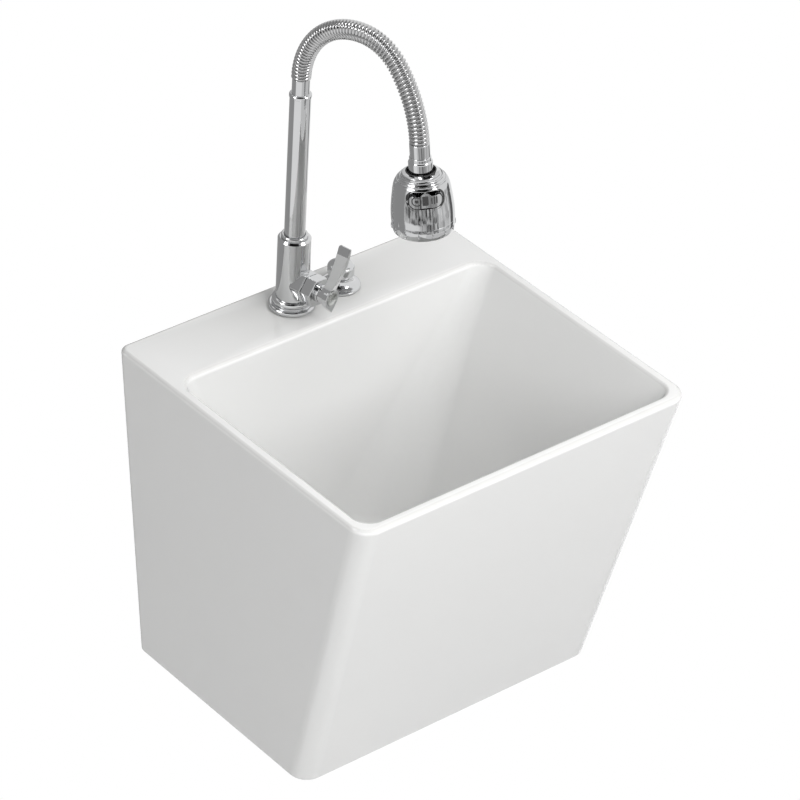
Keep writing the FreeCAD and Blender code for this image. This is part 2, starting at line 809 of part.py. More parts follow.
def knob_parts():
    save("knob_gasket", on_knob(tube(knob_flange_r - knob_gasket_t, knob_hole_r, 0, knob_gasket_t)))
    low = knob_gasket_t
    bore = knob_neck_r + run_gap
    high = knob_flange_h
    flange = turned([(knob_housing_r + run_gap, low), (knob_flange_r, low), (knob_flange_r, low + knob_flange_edge),
                     ((knob_flange_r + knob_lip_r) / 2 - knob_flange_edge, high / 2, knob_lip_r, high), (bore, high),
                     (bore, high - knob_flange_edge), (knob_housing_r + run_gap, high - knob_flange_edge)])
    save("knob_flange", on_knob(flange))
    stem_bore = knob_stem_r + run_gap
    housing_top = high - knob_flange_edge - seat_gap
    housing = turned([(stem_bore, -knob_housing_drop), (knob_housing_r, -knob_housing_drop),
                      (knob_housing_r, housing_top), (knob_neck_r + seat_gap, housing_top),
                      (knob_neck_r + seat_gap, -deck_t / 2), (stem_bore, -deck_t / 2)])
    save("knob_housing", on_knob(housing))
    under = -deck_t
    inner = knob_housing_r + run_gap
    save("knob_washer", on_knob(tube(knob_washer_r, inner, under - knob_washer_t, under)))
    under = under - knob_washer_t
    nut = hexagon(knob_nut_flats, under - knob_nut_h, under).cut(rod(inner, under - knob_nut_h, under))
    save("knob_nut", on_knob(nut))
    edge = knob_dome
    knob = turned([(0, high - 2 * knob_flange_edge), (knob_neck_r, high - 2 * knob_flange_edge),
                   (knob_neck_r, knob_base_z), (knob_r - edge, knob_base_z), (knob_r, knob_base_z + edge),
                   (knob_r, knob_top_z - 2 * edge),
                   (knob_r - edge * 0.4, knob_top_z - edge * 0.9, knob_r - 1.4 * edge, knob_top_z - edge * 0.5),
                   dome(knob_r - 1.4 * edge, knob_top_z - edge * 0.5, knob_top_z)])
    save("drain_knob", on_knob(knob))
    stem_top = high - 2 * knob_flange_edge
    stem = rod(knob_stem_r, -knob_stem_drop, stem_top)
    clamp = rod(knob_clamp_r, -knob_stem_drop, -knob_stem_drop + knob_clamp_h)
    save("knob_stem", on_knob(stem.fuse(clamp).removeSplitter()))


def drain_top_parts():
    save("flange_gasket", on_drain(tube(drain_ring_r, drain_hole_r, 0, drain_gasket_t)))
    low = drain_gasket_t
    high = low + drain_flange_t
    seat = plug_r + seat_gap
    lip = drain_flange_t * 0.6
    flange = turned([(drain_bore_r, -drain_tube_drop), (drain_tube_r, -drain_tube_drop), (drain_tube_r, low - lip),
                     (drain_tube_r + lip, low), (drain_flange_r, low), (drain_flange_r, low + lip / 2),
                     (drain_flange_r - lip, high), (seat + lip, high), (seat, high - lip), (seat, low + lip / 2),
                     (drain_bore_r, low - lip)])
    save("drain_flange", on_drain(flange))
    under = -wall_t
    inner = drain_tube_r + run_gap
    save("drain_seal", on_drain(tube(drain_ring_r, inner, under - drain_ring_t, under)))
    under = under - drain_ring_t
    save("drain_washer", on_drain(tube(drain_ring_r, inner, under - drain_washer_t, under)))
    under = under - drain_washer_t
    nut = tube(drain_nut_r - drain_lug_w / 2, inner, under - drain_nut_h, under)
    for i in range(4):
        lug = block((inner + overrun, -drain_lug_w / 2, under - drain_nut_h), (drain_nut_r, drain_lug_w / 2, under))
        lug.rotate(V(0, 0, 0), V(0, 0, 1), 45 + 90 * i)
        nut = nut.fuse(lug)
    save("drain_nut", on_drain(nut.removeSplitter()))


def drain_lower_parts():
    top = -drain_tube_drop + drain_body_lap
    low = -drain_body_drop
    inner = drain_tube_r + run_gap
    tail_bore = tail_r + run_gap
    seal_top = low + drain_floor_t + tail_lap
    body = turned([(tail_bore, low), (tail_nut_r - tail_wall * 2, low), (tail_nut_r - tail_wall * 2, low + tail_nut_h),
                   (drain_body_r, low + tail_nut_h + drain_floor_t), (drain_body_r, top), (inner, top),
                   (inner, -drain_tube_drop), (drain_bore_r, -drain_tube_drop), (drain_bore_r, seal_top + tail_lap),
                   (tail_r - tail_wall, seal_top), (tail_bore, seal_top)])
    hub_low = -drain_tube_drop - spider_h
    hub = rod(spider_hub_r, hub_low, -drain_tube_drop)
    for i in range(3):
        arm = block((0, -spider_t / 2, hub_low), (drain_bore_r + overrun, spider_t / 2, -drain_tube_drop))
        arm.rotate(V(0, 0, 0), V(0, 0, 1), 30 + 120 * i)
        hub = hub.fuse(arm)
    socket_z = -drain_tube_drop - spider_h - drain_socket_r
    socket = Part.makeCylinder(drain_socket_r, drain_socket_len + drain_floor_t,
                               V(0, drain_bore_r + tail_wall, socket_z), V(0, 1, 0))
    bore = Part.makeCylinder(drain_socket_bore_r, drain_body_r + drain_socket_len, V(0, 0, socket_z), V(0, 1, 0))
    body = body.fuse(hub).fuse(socket).removeSplitter()
    body = body.cut(bore).cut(rod(plug_stem_r + run_gap, hub_low - overrun, 0))
    save("drain_body", on_drain(body))
    seal_low = low - tail_seal_t
    save("tail_seal", on_drain(tube(tail_nut_r - tail_wall * 2, tail_bore, seal_low, low)))
    nut_low = seal_low - tail_wall * 2
    nut = turned([(tail_bore, nut_low), (tail_nut_r, nut_low), (tail_nut_r, nut_low + tail_nut_h),
                  (tail_nut_r - tail_wall * 2 + run_gap, nut_low + tail_nut_h),
                  (tail_nut_r - tail_wall * 2 + run_gap, seal_low), (tail_bore, seal_low)])
    save("tail_nut", on_drain(nut))
    end = seal_top - seat_gap - tail_len
    tail = tube(tail_r, tail_r - tail_wall, end, end + tail_len)
    relief = end + tail_free
    tail = tail.cut(tube(tail_r + overrun, tail_r - relief_t, relief, relief + relief_w))
    save("tailpiece", on_drain(tail))


def drain_end():
    return floor_z - drain_body_drop + drain_floor_t + tail_lap - seat_gap - tail_len


def plug_parts():
    low = drain_gasket_t + drain_flange_t * 0.3
    seal_low = low + seat_gap
    seal_r_out = plug_r - seat_gap
    save("plug_seal", on_drain(tube(seal_r_out, plug_r * 0.7, seal_low, seal_low + plug_seal_t)))
    base = seal_low + plug_seal_t
    top = base + plug_t
    cap = turned([(0, seal_low - plug_seal_t), (plug_r * 0.5, seal_low - plug_seal_t),
                  (plug_r * 0.7 - run_gap, seal_low), (plug_r * 0.7 - run_gap, base), (plug_r, base),
                  (plug_r, top - plug_t / 3), (plug_r - plug_t / 3, top),
                  dome(plug_r - plug_t / 3, top, top + plug_dome)])
    save("drain_plug", on_drain(cap))
    stem_low = -drain_tube_drop - spider_h - drain_socket_r
    save("plug_stem", on_drain(rod(plug_stem_r, stem_low, seal_low - plug_seal_t)))


save("basin", basin())
tap_fixings()
save("tap_body", tap_body())
valve_parts()
lever_parts()
riser_parts()
save("flex_hose", flex_hose())
hose_end_parts()
save("spray_shell", spray_shell())
save("spray_cap", spray_cap())
save("ball_seat", ball_seat())
save("spray_core", spray_core())
save("spray_switch", spray_switch())
save("switch_pin", on_head(switch_rod(0)))
spray_mouth()
knob_parts()
drain_top_parts()
drain_lower_parts()
plug_parts()

ball_at = on_head(Part.makeSphere(ball_r)).BoundBox.Center
print("ball centre", [round(c, 3) for c in ball_at])
for name, direction in (("head up", V(0, 0, 1)), ("switch out", V(1, 0, 0)), ("head side", V(0, 1, 0))):
    spot = on_head(Part.Vertex(direction * switch_w)).Point
    origin = on_head(Part.Vertex(V(0, 0, 0))).Point
    print(name, [round(c, 5) for c in (spot - origin).normalize()])
print("switch pin", [round(c, 3) for c in on_head(Part.Vertex(V(switch_pin_x(), 0, head_top - switch_drop))).Point])
print("lever axis", [round(c, 3) for c in on_tap(Part.Vertex(V(0, 0, valve_z))).Point],
      [round(c, 3) for c in on_tap(Part.Vertex(V(lever_start(), 0, valve_z))).Point])
print("tail end", round(drain_end(), 3))
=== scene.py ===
import math
import bmesh
import bpy
from mathutils import Matrix, Vector
from mathutils.bvhtree import BVHTree
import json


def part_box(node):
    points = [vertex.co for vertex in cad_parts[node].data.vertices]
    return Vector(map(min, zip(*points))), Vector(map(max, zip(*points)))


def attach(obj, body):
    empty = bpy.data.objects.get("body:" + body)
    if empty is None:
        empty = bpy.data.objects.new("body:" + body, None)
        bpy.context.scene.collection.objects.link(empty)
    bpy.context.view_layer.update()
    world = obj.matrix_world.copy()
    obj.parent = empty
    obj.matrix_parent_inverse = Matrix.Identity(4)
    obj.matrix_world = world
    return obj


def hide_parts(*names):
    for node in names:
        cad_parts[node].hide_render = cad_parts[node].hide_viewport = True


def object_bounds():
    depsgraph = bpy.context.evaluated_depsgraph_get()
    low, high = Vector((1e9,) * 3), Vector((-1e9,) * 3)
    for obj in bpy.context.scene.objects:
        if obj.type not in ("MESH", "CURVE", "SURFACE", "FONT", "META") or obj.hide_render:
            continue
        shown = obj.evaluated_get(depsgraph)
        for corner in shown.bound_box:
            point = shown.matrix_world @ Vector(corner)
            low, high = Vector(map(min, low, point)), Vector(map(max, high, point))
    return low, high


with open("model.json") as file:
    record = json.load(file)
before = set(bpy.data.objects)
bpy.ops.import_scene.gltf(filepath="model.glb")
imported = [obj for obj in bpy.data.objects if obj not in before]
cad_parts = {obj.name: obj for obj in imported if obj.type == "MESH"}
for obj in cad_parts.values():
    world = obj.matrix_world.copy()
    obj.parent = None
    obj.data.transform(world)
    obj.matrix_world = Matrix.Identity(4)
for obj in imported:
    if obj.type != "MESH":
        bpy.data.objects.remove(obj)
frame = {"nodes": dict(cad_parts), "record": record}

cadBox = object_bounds()
scene = bpy.context.scene
record = frame["record"]
bodyOf = {node: body for body, nodes in record["behaviour"]["bodies"].items() for node in nodes}
slotOf = {row["node"]: row["material_slot"] for row in record["subparts"]}
joints = {joint["name"]: joint for joint in record["behaviour"]["joints"]}
print("frame:", len(frame["nodes"]), "nodes")

millimetre = 0.001
upwards = Vector((0, 0, 1))


def nodeCentre(node):
    low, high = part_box(node)
    return (low + high) / 2


# The tap's own axes: forwards along its lever's spindle, sideways, and up its riser
tapForward = Vector(joints["lever_turn"]["axis"]).normalized()
tapSide = upwards.cross(tapForward)
tapPlace = Vector(joints["spout_swivel"]["pos_m"])

# The spray head's own axes: out through its switch, sideways, and up its turning axis
headUp = Vector(joints["spray_turn"]["axis"]).normalized()
headPlace = Vector(joints["spray_turn"]["pos_m"])
switchOut = nodeCentre("spray_switch") - headPlace
headOut = (switchOut - headUp * switchOut.dot(headUp)).normalized()
headSide = headUp.cross(headOut)


def turnTo(forward, side, up, place):
    return Matrix.Translation(place) @ Matrix((forward, side, up)).transposed().to_4x4()


headFrame = turnTo(headOut, headSide, headUp, headPlace)
deckPlace = Vector((tapPlace.x, tapPlace.y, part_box("tap_gasket")[0].z))
tapFrame = turnTo(tapForward, tapSide, upwards, deckPlace)
hubFrame = turnTo(tapSide, upwards, tapForward, joints["lever_turn"]["pos_m"])
toHead = headFrame.inverted()
toTap = tapFrame.inverted()

# Camera at the photograph's viewing angle
photoCamera = {
    "place": (-2.3592, -2.9091, 2.5069), "azimuth": -40.893, "elevation": 34.575,
    "roll": 3.356, "lens": 206.1, "sensor": 36.0, "clipEnd": 100.0,
}


def awayFrom(azimuth, elevation):
    # The way out to a place round the sink; azimuth 0 is in front of it and 90 to its right
    turn = math.radians(azimuth)
    rise = math.radians(elevation)
    return Vector((math.sin(turn) * math.cos(rise), -math.cos(turn) * math.cos(rise), math.sin(rise)))


def makeCamera(values):
    roll = math.radians(values["roll"])
    back = awayFrom(values["azimuth"], values["elevation"])
    level = (-back).cross(upwards).normalized()
    upright = back.cross(level)
    right = math.cos(roll) * level + math.sin(roll) * upright
    up = math.cos(roll) * upright - math.sin(roll) * level
    data = bpy.data.cameras.new("photoCamera")
    data.lens = values["lens"]
    data.sensor_width = values["sensor"]
    data.clip_end = values["clipEnd"]
    camera = bpy.data.objects.new("photoCamera", data)
    camera.matrix_world = turnTo(right, up, back, values["place"])
    scene.collection.objects.link(camera)
    scene.camera = camera


makeCamera(photoCamera)


# Small helpers for node trees
def newMaterial(name):
    material = bpy.data.materials.new(name)
    material.use_nodes = True
    tree = material.node_tree
    return material, tree, tree.nodes["Principled BSDF"]


def addNode(tree, kind, values=None, **settings):
    node = tree.nodes.new(kind)
    for key, value in settings.items():
        setattr(node, key, value)
    for key, value in (values or {}).items():
        if isinstance(value, bpy.types.NodeSocket):
            tree.links.new(value, node.inputs[key])
        else:
            node.inputs[key].default_value = value
    return node


def mathNode(tree, operation, *values):
    return addNode(tree, "ShaderNodeMath", dict(enumerate(values)), operation=operation).outputs[0]


def placeGroup(tree, group, values):
    node = tree.nodes.new("ShaderNodeGroup")
    node.node_tree = group
    for key, value in values.items():
        node.inputs[key].default_value = value
    return node.outputs


def makeShaderGroup(name, inputs, outputs):
    group = bpy.data.node_groups.new(name, "ShaderNodeTree")
    for title, kind, value in inputs:
        socket = group.interface.new_socket(title, in_out="INPUT", socket_type=kind)
        socket.default_value = value
    for title, kind in outputs:
        group.interface.new_socket(title, in_out="OUTPUT", socket_type=kind)
    given = group.nodes.new("NodeGroupInput").outputs
    return group, given, group.nodes.new("NodeGroupOutput").inputs


wear = {
    "detail": 3.0, "gain": 0.55, "streakScale": 4.0, "streakDetail": 2.0, "streakSwirl": 1.5,
    "streakShare": 0.35, "driftShare": 0.65, "least": 0.35, "most": 0.65,
}


def makeWearGroup(values):
    # Fine wear of a polished or moulded surface: a roughness that drifts, with faint rubbed streaks
    group, given, result = makeShaderGroup(
        "surfaceWear",
        [("Scale", "NodeSocketFloat", 60.0), ("Low", "NodeSocketFloat", 0.04),
         ("High", "NodeSocketFloat", 0.1)],
        [("Roughness", "NodeSocketFloat"), ("Height", "NodeSocketFloat")])
    place = addNode(group, "ShaderNodeTexCoord").outputs["Object"]
    drift = addNode(group, "ShaderNodeTexNoise", {
        "Vector": place, "Scale": given["Scale"], "Detail": values["detail"],
        "Roughness": values["gain"]}).outputs["Fac"]
    fine = mathNode(group, "MULTIPLY", given["Scale"], values["streakScale"])
    streak = addNode(group, "ShaderNodeTexNoise", {
        "Vector": place, "Scale": fine, "Detail": values["streakDetail"],
        "Distortion": values["streakSwirl"]}).outputs["Fac"]
    drifted = mathNode(group, "MULTIPLY", drift, values["driftShare"])
    both = mathNode(group, "MULTIPLY_ADD", streak, values["streakShare"], drifted)
    spread = addNode(group, "ShaderNodeMapRange", {
        "Value": both, "From Min": values["least"], "From Max": values["most"],
        "To Min": given["Low"], "To Max": given["High"]})
    group.links.new(spread.outputs["Result"], result["Roughness"])
    group.links.new(both, result["Height"])
    return group


def makeToneGroup():
    # A colour that shifts a little between two near tones
    group, given, result = makeShaderGroup(
        "softTone",
        [("Scale", "NodeSocketFloat", 8.0), ("First", "NodeSocketColor", (0.8, 0.8, 0.8, 1)),
         ("Second", "NodeSocketColor", (0.78, 0.78, 0.78, 1))],
        [("Color", "NodeSocketColor")])
    place = addNode(group, "ShaderNodeTexCoord").outputs["Object"]
    drift = addNode(group, "ShaderNodeTexNoise", {
        "Vector": place, "Scale": given["Scale"], "Detail": 2.0}).outputs["Fac"]
    mix = addNode(group, "ShaderNodeMix", {0: drift, 6: given["First"], 7: given["Second"]},
                  data_type="RGBA")
    group.links.new(mix.outputs[2], result["Color"])
    return group


wearGroup = makeWearGroup(wear)
toneGroup = makeToneGroup()

# Each finish: its two near tones, the scale of its wear, its roughness from low to high, and any
# relief. The tones drift at a quarter of the wear's scale
toneShare = 0.25
reliefDepth = 0.1 * millimetre
finishes = {
    "chrome": {
        "name": "chromePlate", "first": (0.65, 0.655, 0.66), "second": (0.6, 0.605, 0.61),
        "scale": 90.0, "low": 0.02, "high": 0.055, "relief": 0, "metallic": 1.0},
    "wound_steel": {
        "name": "woundStrip", "first": (0.6, 0.6, 0.6), "second": (0.52, 0.52, 0.525),
        "scale": 160.0, "low": 0.05, "high": 0.11, "relief": 0, "metallic": 1.0},
    "plated_plastic": {
        "name": "chromedShell", "first": (0.62, 0.625, 0.63), "second": (0.58, 0.585, 0.59),
        "scale": 70.0, "low": 0.03, "high": 0.075, "relief": 0.05, "metallic": 1.0},
    "grey_plastic": {
        "name": "greyMoulding", "first": (0.3, 0.31, 0.32), "second": (0.26, 0.27, 0.28),
        "scale": 300.0, "low": 0.4, "high": 0.55, "relief": 0.2, "metallic": 0.0},
    "white_plastic": {
        "name": "whiteMoulding", "first": (0.74, 0.74, 0.72), "second": (0.69, 0.69, 0.67),
        "scale": 200.0, "low": 0.3, "high": 0.45, "relief": 0.2, "metallic": 0.0},
    "steel_mesh": {
        "name": "strainerWire", "first": (0.55, 0.55, 0.55), "second": (0.45, 0.45, 0.45),
        "scale": 400.0, "low": 0.2, "high": 0.35, "relief": 0, "metallic": 1.0},
    "steel": {
        "name": "zincPlate", "first": (0.55, 0.56, 0.55), "second": (0.47, 0.48, 0.46),
        "scale": 120.0, "low": 0.2, "high": 0.38, "relief": 0.2, "metallic": 1.0},
    "brass": {
        "name": "turnedBrass", "first": (0.72, 0.52, 0.25), "second": (0.6, 0.42, 0.2),
        "scale": 120.0, "low": 0.16, "high": 0.32, "relief": 0.2, "metallic": 1.0},
    "ceramic_valve": {
        "name": "valveBody", "first": (0.6, 0.6, 0.58), "second": (0.54, 0.54, 0.52),
        "scale": 200.0, "low": 0.25, "high": 0.4, "relief": 0.2, "metallic": 0.0},
    "rubber": {
        "name": "blackRubber", "first": (0.022, 0.022, 0.022), "second": (0.032, 0.032, 0.032),
        "scale": 260.0, "low": 0.55, "high": 0.7, "relief": 0.4, "metallic": 0.0},
}


def finishedMaterial(values):
    material, tree, shader = newMaterial(values["name"])
    shader.inputs["Metallic"].default_value = values["metallic"]
    worn = placeGroup(tree, wearGroup, {
        "Scale": values["scale"], "Low": values["low"], "High": values["high"]})
    tone = placeGroup(tree, toneGroup, {
        "Scale": values["scale"] * toneShare, "First": (*values["first"], 1),
        "Second": (*values["second"], 1)})
    tree.links.new(worn["Roughness"], shader.inputs["Roughness"])
    tree.links.new(tone["Color"], shader.inputs["Base Color"])
    if values["relief"]:
        bump = addNode(tree, "ShaderNodeBump", {
            "Strength": values["relief"], "Distance": reliefDepth, "Height": worn["Height"]})
        tree.links.new(bump.outputs["Normal"], shader.inputs["Normal"])
    return material


glaze = {
    "first": (0.775, 0.775, 0.767, 1), "second": (0.76, 0.761, 0.757, 1), "toneScale": 5.0,
    "bare": (0.62, 0.6, 0.56, 1), "bareRough": 0.75, "bareHeight": 0.8 * millimetre,
    "low": 0.045, "high": 0.1, "wearScale": 30.0, "ior": 1.52, "coat": 0.2,
    "wave": 0.35, "waveScale": 13.0, "waveDetail": 1.0, "waveDepth": 1.2 * millimetre,
    # The darker thin tone is painted shade on the rounds of the rim, laid by the mark over the reach and
    # slopes that follow
    "thin": (0.64, 0.64, 0.63, 1), "rimShadeMark": "paintedRimShade", "rimShadeReach": 12.0 * millimetre,
    "rimShadeSlopes": ((0.42, 0.0), (0.56, 1.0), (0.92, 1.0), (0.985, 0.0)), "sharp": 50.0,
}


def glazeMaterial(values):
    # White gloss glaze with long soft waves, and a bare matt foot where the sink stood in the kiln
    material, tree, shader = newMaterial("glazeWhite")
    shader.inputs["IOR"].default_value = values["ior"]
    shader.inputs["Coat Weight"].default_value = values["coat"]
    shader.inputs["Coat Roughness"].default_value = values["low"]
    place = addNode(tree, "ShaderNodeTexCoord").outputs["Object"]
    height = addNode(tree, "ShaderNodeSeparateXYZ", {0: place}).outputs["Z"]
    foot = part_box("basin")[0].z + values["bareHeight"]
    bare = addNode(tree, "ShaderNodeMapRange", {
        "Value": height, "From Min": foot + values["bareHeight"], "From Max": foot}).outputs["Result"]
    tone = placeGroup(tree, toneGroup, {
        "Scale": values["toneScale"], "First": values["first"], "Second": values["second"]})
    # Painted shade: the rim's rounds take the darker thin tone where the mark is set
    thin = addNode(tree, "ShaderNodeAttribute", attribute_name=values["rimShadeMark"]).outputs["Fac"]
    rimShaded = addNode(tree, "ShaderNodeMix", {0: thin, 6: tone["Color"], 7: values["thin"]},
                    data_type="RGBA")
    colour = addNode(tree, "ShaderNodeMix", {0: bare, 6: rimShaded.outputs[2], 7: values["bare"]},
                     data_type="RGBA")
    tree.links.new(colour.outputs[2], shader.inputs["Base Color"])
    worn = placeGroup(tree, wearGroup, {
        "Scale": values["wearScale"], "Low": values["low"], "High": values["high"]})
    rough = addNode(tree, "ShaderNodeMix", {0: bare, 2: worn["Roughness"], 3: values["bareRough"]})
    tree.links.new(rough.outputs[0], shader.inputs["Roughness"])
    wave = addNode(tree, "ShaderNodeTexNoise", {
        "Vector": place, "Scale": values["waveScale"], "Detail": values["waveDetail"]}).outputs["Fac"]
    bump = addNode(tree, "ShaderNodeBump", {
        "Strength": values["wave"], "Distance": values["waveDepth"], "Height": wave})
    tree.links.new(bump.outputs["Normal"], shader.inputs["Normal"])
    return material


materials = {slot: finishedMaterial(values) for slot, values in finishes.items()}
materials["glaze"] = glazeMaterial(glaze)
for node, part in frame["nodes"].items():
    part.data.materials.clear()
    part.data.materials.append(materials[slotOf[node]])
print("materials:", len(materials))


def newPiece(name, mesh, node, slot=None, stands=()):
    # A finished piece rides on the body of the node that it belongs to
    slot = slot or slotOf[node]
    mesh.materials.clear()
    mesh.materials.append(materials[slot])
    piece = bpy.data.objects.new(name, mesh)
    scene.collection.objects.link(piece)
    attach(piece, bodyOf[node])
    if stands:
        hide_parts(*stands)
    return piece


def toMesh(bm, name):
    bmesh.ops.recalc_face_normals(bm, faces=bm.faces)
    mesh = bpy.data.meshes.new(name)
    bm.to_mesh(mesh)
    bm.free()
    return mesh


def bakeModifiers(piece):
    bpy.context.view_layer.update()
    graph = bpy.context.evaluated_depsgraph_get()
    mesh = bpy.data.meshes.new_from_object(
        piece.evaluated_get(graph), preserve_all_data_layers=True, depsgraph=graph)
    piece.modifiers.clear()
    piece.data = mesh
    return piece


def smoothBySharpness(bm, degrees):
    for face in bm.faces:
        face.smooth = True
    for edge in bm.edges:
        crease = math.radians(degrees)
        edge.smooth = len(edge.link_faces) == 2 and edge.calc_face_angle(0) < crease


def stepped(value, table):
    # Reads a table of rising places and their values, straight between them
    if value <= table[0][0]:
        return table[0][1]
    for (start, low), (end, high) in zip(table, table[1:]):
        if value <= end:
            return low + (high - low) * (value - start) / (end - start)
    return table[-1][1]


# The spray shell's crown in millimetres: its modelled skin, and the cone with a crisp shoulder
crown = {
    "from": ((14.0, 6.0), (18.6, 5.2), (20.0, 5.0), (22.0, 3.0), (24.3, 2.0), (25.8, 0.0),
             (27.1, -2.0), (28.1, -4.0), (29.0, -6.0), (31.4, -6.0)),
    "to": ((14.0, 6.0), (16.0, 4.8), (18.3, 3.0), (20.5, 1.0), (22.5, -0.8), (24.5, -3.0),
           (26.0, -5.0), (26.9, -6.8), (27.4, -9.0)),
    "draw": ((-43.0, 0.955), (-36.0, 0.957), (-30.0, 0.95), (-20.0, 0.93), (-12.0, 0.91),
             (-6.0, 0.9)),
    "rim": 14.0, "wide": 27.0, "gather": 0.1, "fade": 6.0, "shoulder": -6.0,
    "nodes": ("spray_shell", "spray_cap", "spray_core", "spray_ring", "jet_plate",
              "spray_switch", "switch_pin"),
}


def drawnCrown(spot):
    # Draws the head's round crown in to a cone; points inside the mouth stay where they are
    x, y, z = (toHead @ spot) / millimetre
    radius = math.hypot(x, y)
    if radius <= crown["rim"]:
        return spot
    if z > crown["shoulder"]:
        share = min((radius - crown["rim"]) / (crown["wide"] - crown["rim"]), 1.0)
        scale = 1.0 - crown["gather"] * share
        fade = 1.0
    else:
        scale = stepped(z, crown["draw"])
        fade = max(1.0 - (crown["shoulder"] - z) / crown["fade"], 0.0)
    sink = stepped(radius * scale, crown["to"]) - stepped(radius, crown["from"])
    return headFrame @ (Vector((x * scale, y * scale, z + min(sink, 0.0) * fade)) * millimetre)


# The lever's blade: the heights that its thinning runs between, and its back edge, in millimetres
blade = {"from": 40.0, "to": 95.0, "thin": 0.74, "deepen": 0.2, "back": 55.5}


def thinnedBlade(spot):
    # Thins the lever's blade towards its top, and deepens it forwards
    ahead, aside, up = (toTap @ spot) / millimetre
    share = min(max((up - blade["from"]) / (blade["to"] - blade["from"]), 0.0), 1.0)
    ahead += blade["deepen"] * share * (ahead - blade["back"])
    aside *= 1.0 - blade["thin"] * share
    return tapFrame @ (Vector((ahead, aside, up)) * millimetre)


reshapes = {node: drawnCrown for node in crown["nodes"]}
reshapes["lever"] = thinnedBlade

# How a node's skin is cleaned and its edges are broken; lengths in millimetres, angles in degrees
edgeFinish = {"weld": 0.002, "collapse": 0.001, "flat": 0.2, "sharp": 32.0, "steps": 2, "weight": 80}


def finishedNode(node, bevel, slot=None, sharp=edgeFinish["sharp"]):
    # A node's surface as one skin, with its machined or moulded edges broken by a small round
    bm = bmesh.new()
    bm.from_mesh(frame["nodes"][node].data)
    bmesh.ops.remove_doubles(bm, verts=bm.verts, dist=edgeFinish["weld"] * millimetre)
    bmesh.ops.dissolve_degenerate(bm, dist=edgeFinish["collapse"] * millimetre, edges=bm.edges)
    if bevel:
        bmesh.ops.dissolve_limit(
            bm, angle_limit=math.radians(edgeFinish["flat"]), verts=bm.verts, edges=bm.edges,
            use_dissolve_boundaries=False)
    if node in reshapes:
        for corner in bm.verts:
            corner.co = reshapes[node](corner.co)
    smoothBySharpness(bm, sharp)
    piece = newPiece(node + "Finish", toMesh(bm, node + "Finish"), node, slot, (node,))
    if bevel:
        edges = piece.modifiers.new("edges", "BEVEL")
        edges.width = bevel * millimetre
        edges.segments = edgeFinish["steps"]
        edges.limit_method = "ANGLE"
        edges.angle_limit = math.radians(sharp)
        edges.miter_outer = "MITER_ARC"
    normals = piece.modifiers.new("normals", "WEIGHTED_NORMAL")
    normals.keep_sharp = True
    normals.weight = edgeFinish["weight"]
    return bakeModifiers(piece)


def markRimShade(mesh, values):
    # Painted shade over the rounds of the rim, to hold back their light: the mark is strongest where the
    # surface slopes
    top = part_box("basin")[1].z - values["rimShadeReach"]
    mark = mesh.attributes.new(values["rimShadeMark"], "FLOAT", "POINT")
    for i, corner in enumerate(mesh.vertices):
        high = corner.co.z > top
        mark.data[i].value = stepped(corner.normal.z, values["rimShadeSlopes"]) if high else 0.0


# The glazed basin keeps its modelled rounds, with its flat sides shaded flat up to them, and painted
# shade marked on the rounds of its rim
markRimShade(finishedNode("basin", 0, sharp=glaze["sharp"]).data, glaze)
print("basin glazed")

# Machined, plated and moulded parts, each with its edge round in millimetres
edgeRounds = {
    "tap_flange": 0.5, "gland_nut": 0.4, "riser_collar": 0.3, "riser_ferrule": 0.3,
    "hose_ferrule": 0.3, "swivel_nut": 0.4, "riser": 0.3, "lever": 0.5, "tap_body": 0.6,
    "knob_flange": 0.4, "drain_knob": 0.4, "drain_flange": 0.3, "drain_plug": 0.3, "shank_nut": 0.5,
    "shank_plate": 0.2, "knob_nut": 0.5, "drain_nut": 0.8, "tail_nut": 0.8, "tailpiece": 0.3,
    "spray_ring": 0.7, "spray_shell": 0.55, "spray_cap": 0.2, "spray_switch": 0.4,
    "drain_body": 0.6, "shank_washer": 0.5, "drain_seal": 0.6, "jet_plate": 0.3,
    "ball_seat": 0.3, "ball_stem": 0.2, "switch_pin": 0, "spray_core": 0,
}
otherSlots = {"ball_seat": "rubber", "ball_stem": "chrome"}
finished = {}
for node, width in edgeRounds.items():
    finished[node] = finishedNode(node, width, otherSlots.get(node))
print("edges rounded:", len(finished))

# The six-sided branch and its nut, turned so that a corner leans to the left; lengths in millimetres
hexagons = {
    "sides": 6, "flats": 27.9, "lean": 20.0, "chamfer": 0.7, "edge": 0.8, "edgeSteps": 3,
    "pieces": {
        "branchHex": {"node": "tap_body", "from": -30.0, "to": -16.5, "stands": ()},
        "nutHex": {"node": "bonnet_nut", "from": -15.9, "to": -4.0, "stands": ("bonnet_nut",)},
    },
}


def makeHexagon(name, piece, values):
    radius = values["flats"] / math.sqrt(3)
    sides = values["sides"]
    chamfer = values["chamfer"]
    bm = bmesh.new()
    rings = []
    for along, inset in ((piece["from"], chamfer), (piece["from"] + chamfer, 0.0),
                         (piece["to"] - chamfer, 0.0), (piece["to"], chamfer)):
        ring = []
        for i in range(sides):
            turn = math.radians(90.0 + values["lean"] + 360.0 * i / sides)
            reach = radius - inset
            spot = Vector((reach * math.cos(turn), reach * math.sin(turn), along))
            ring.append(bm.verts.new(spot * millimetre))
        rings.append(ring)
    for first, second in zip(rings, rings[1:]):
        for i in range(sides):
            j = (i + 1) % sides
            bm.faces.new((first[i], first[j], second[j], second[i]))
    bm.faces.new(rings[0])
    bm.faces.new(rings[-1])
    for face in bm.faces:
        face.smooth = True
    mesh = toMesh(bm, name)
    mesh.transform(hubFrame)
    made = newPiece(name, mesh, piece["node"], stands=piece["stands"])
    edges = made.modifiers.new("edges", "BEVEL")
    edges.width = values["edge"] * millimetre
    edges.segments = values["edgeSteps"]
    made.modifiers.new("normals", "WEIGHTED_NORMAL")
    bakeModifiers(made)


for name, piece in hexagons["pieces"].items():
    makeHexagon(name, piece, hexagons)


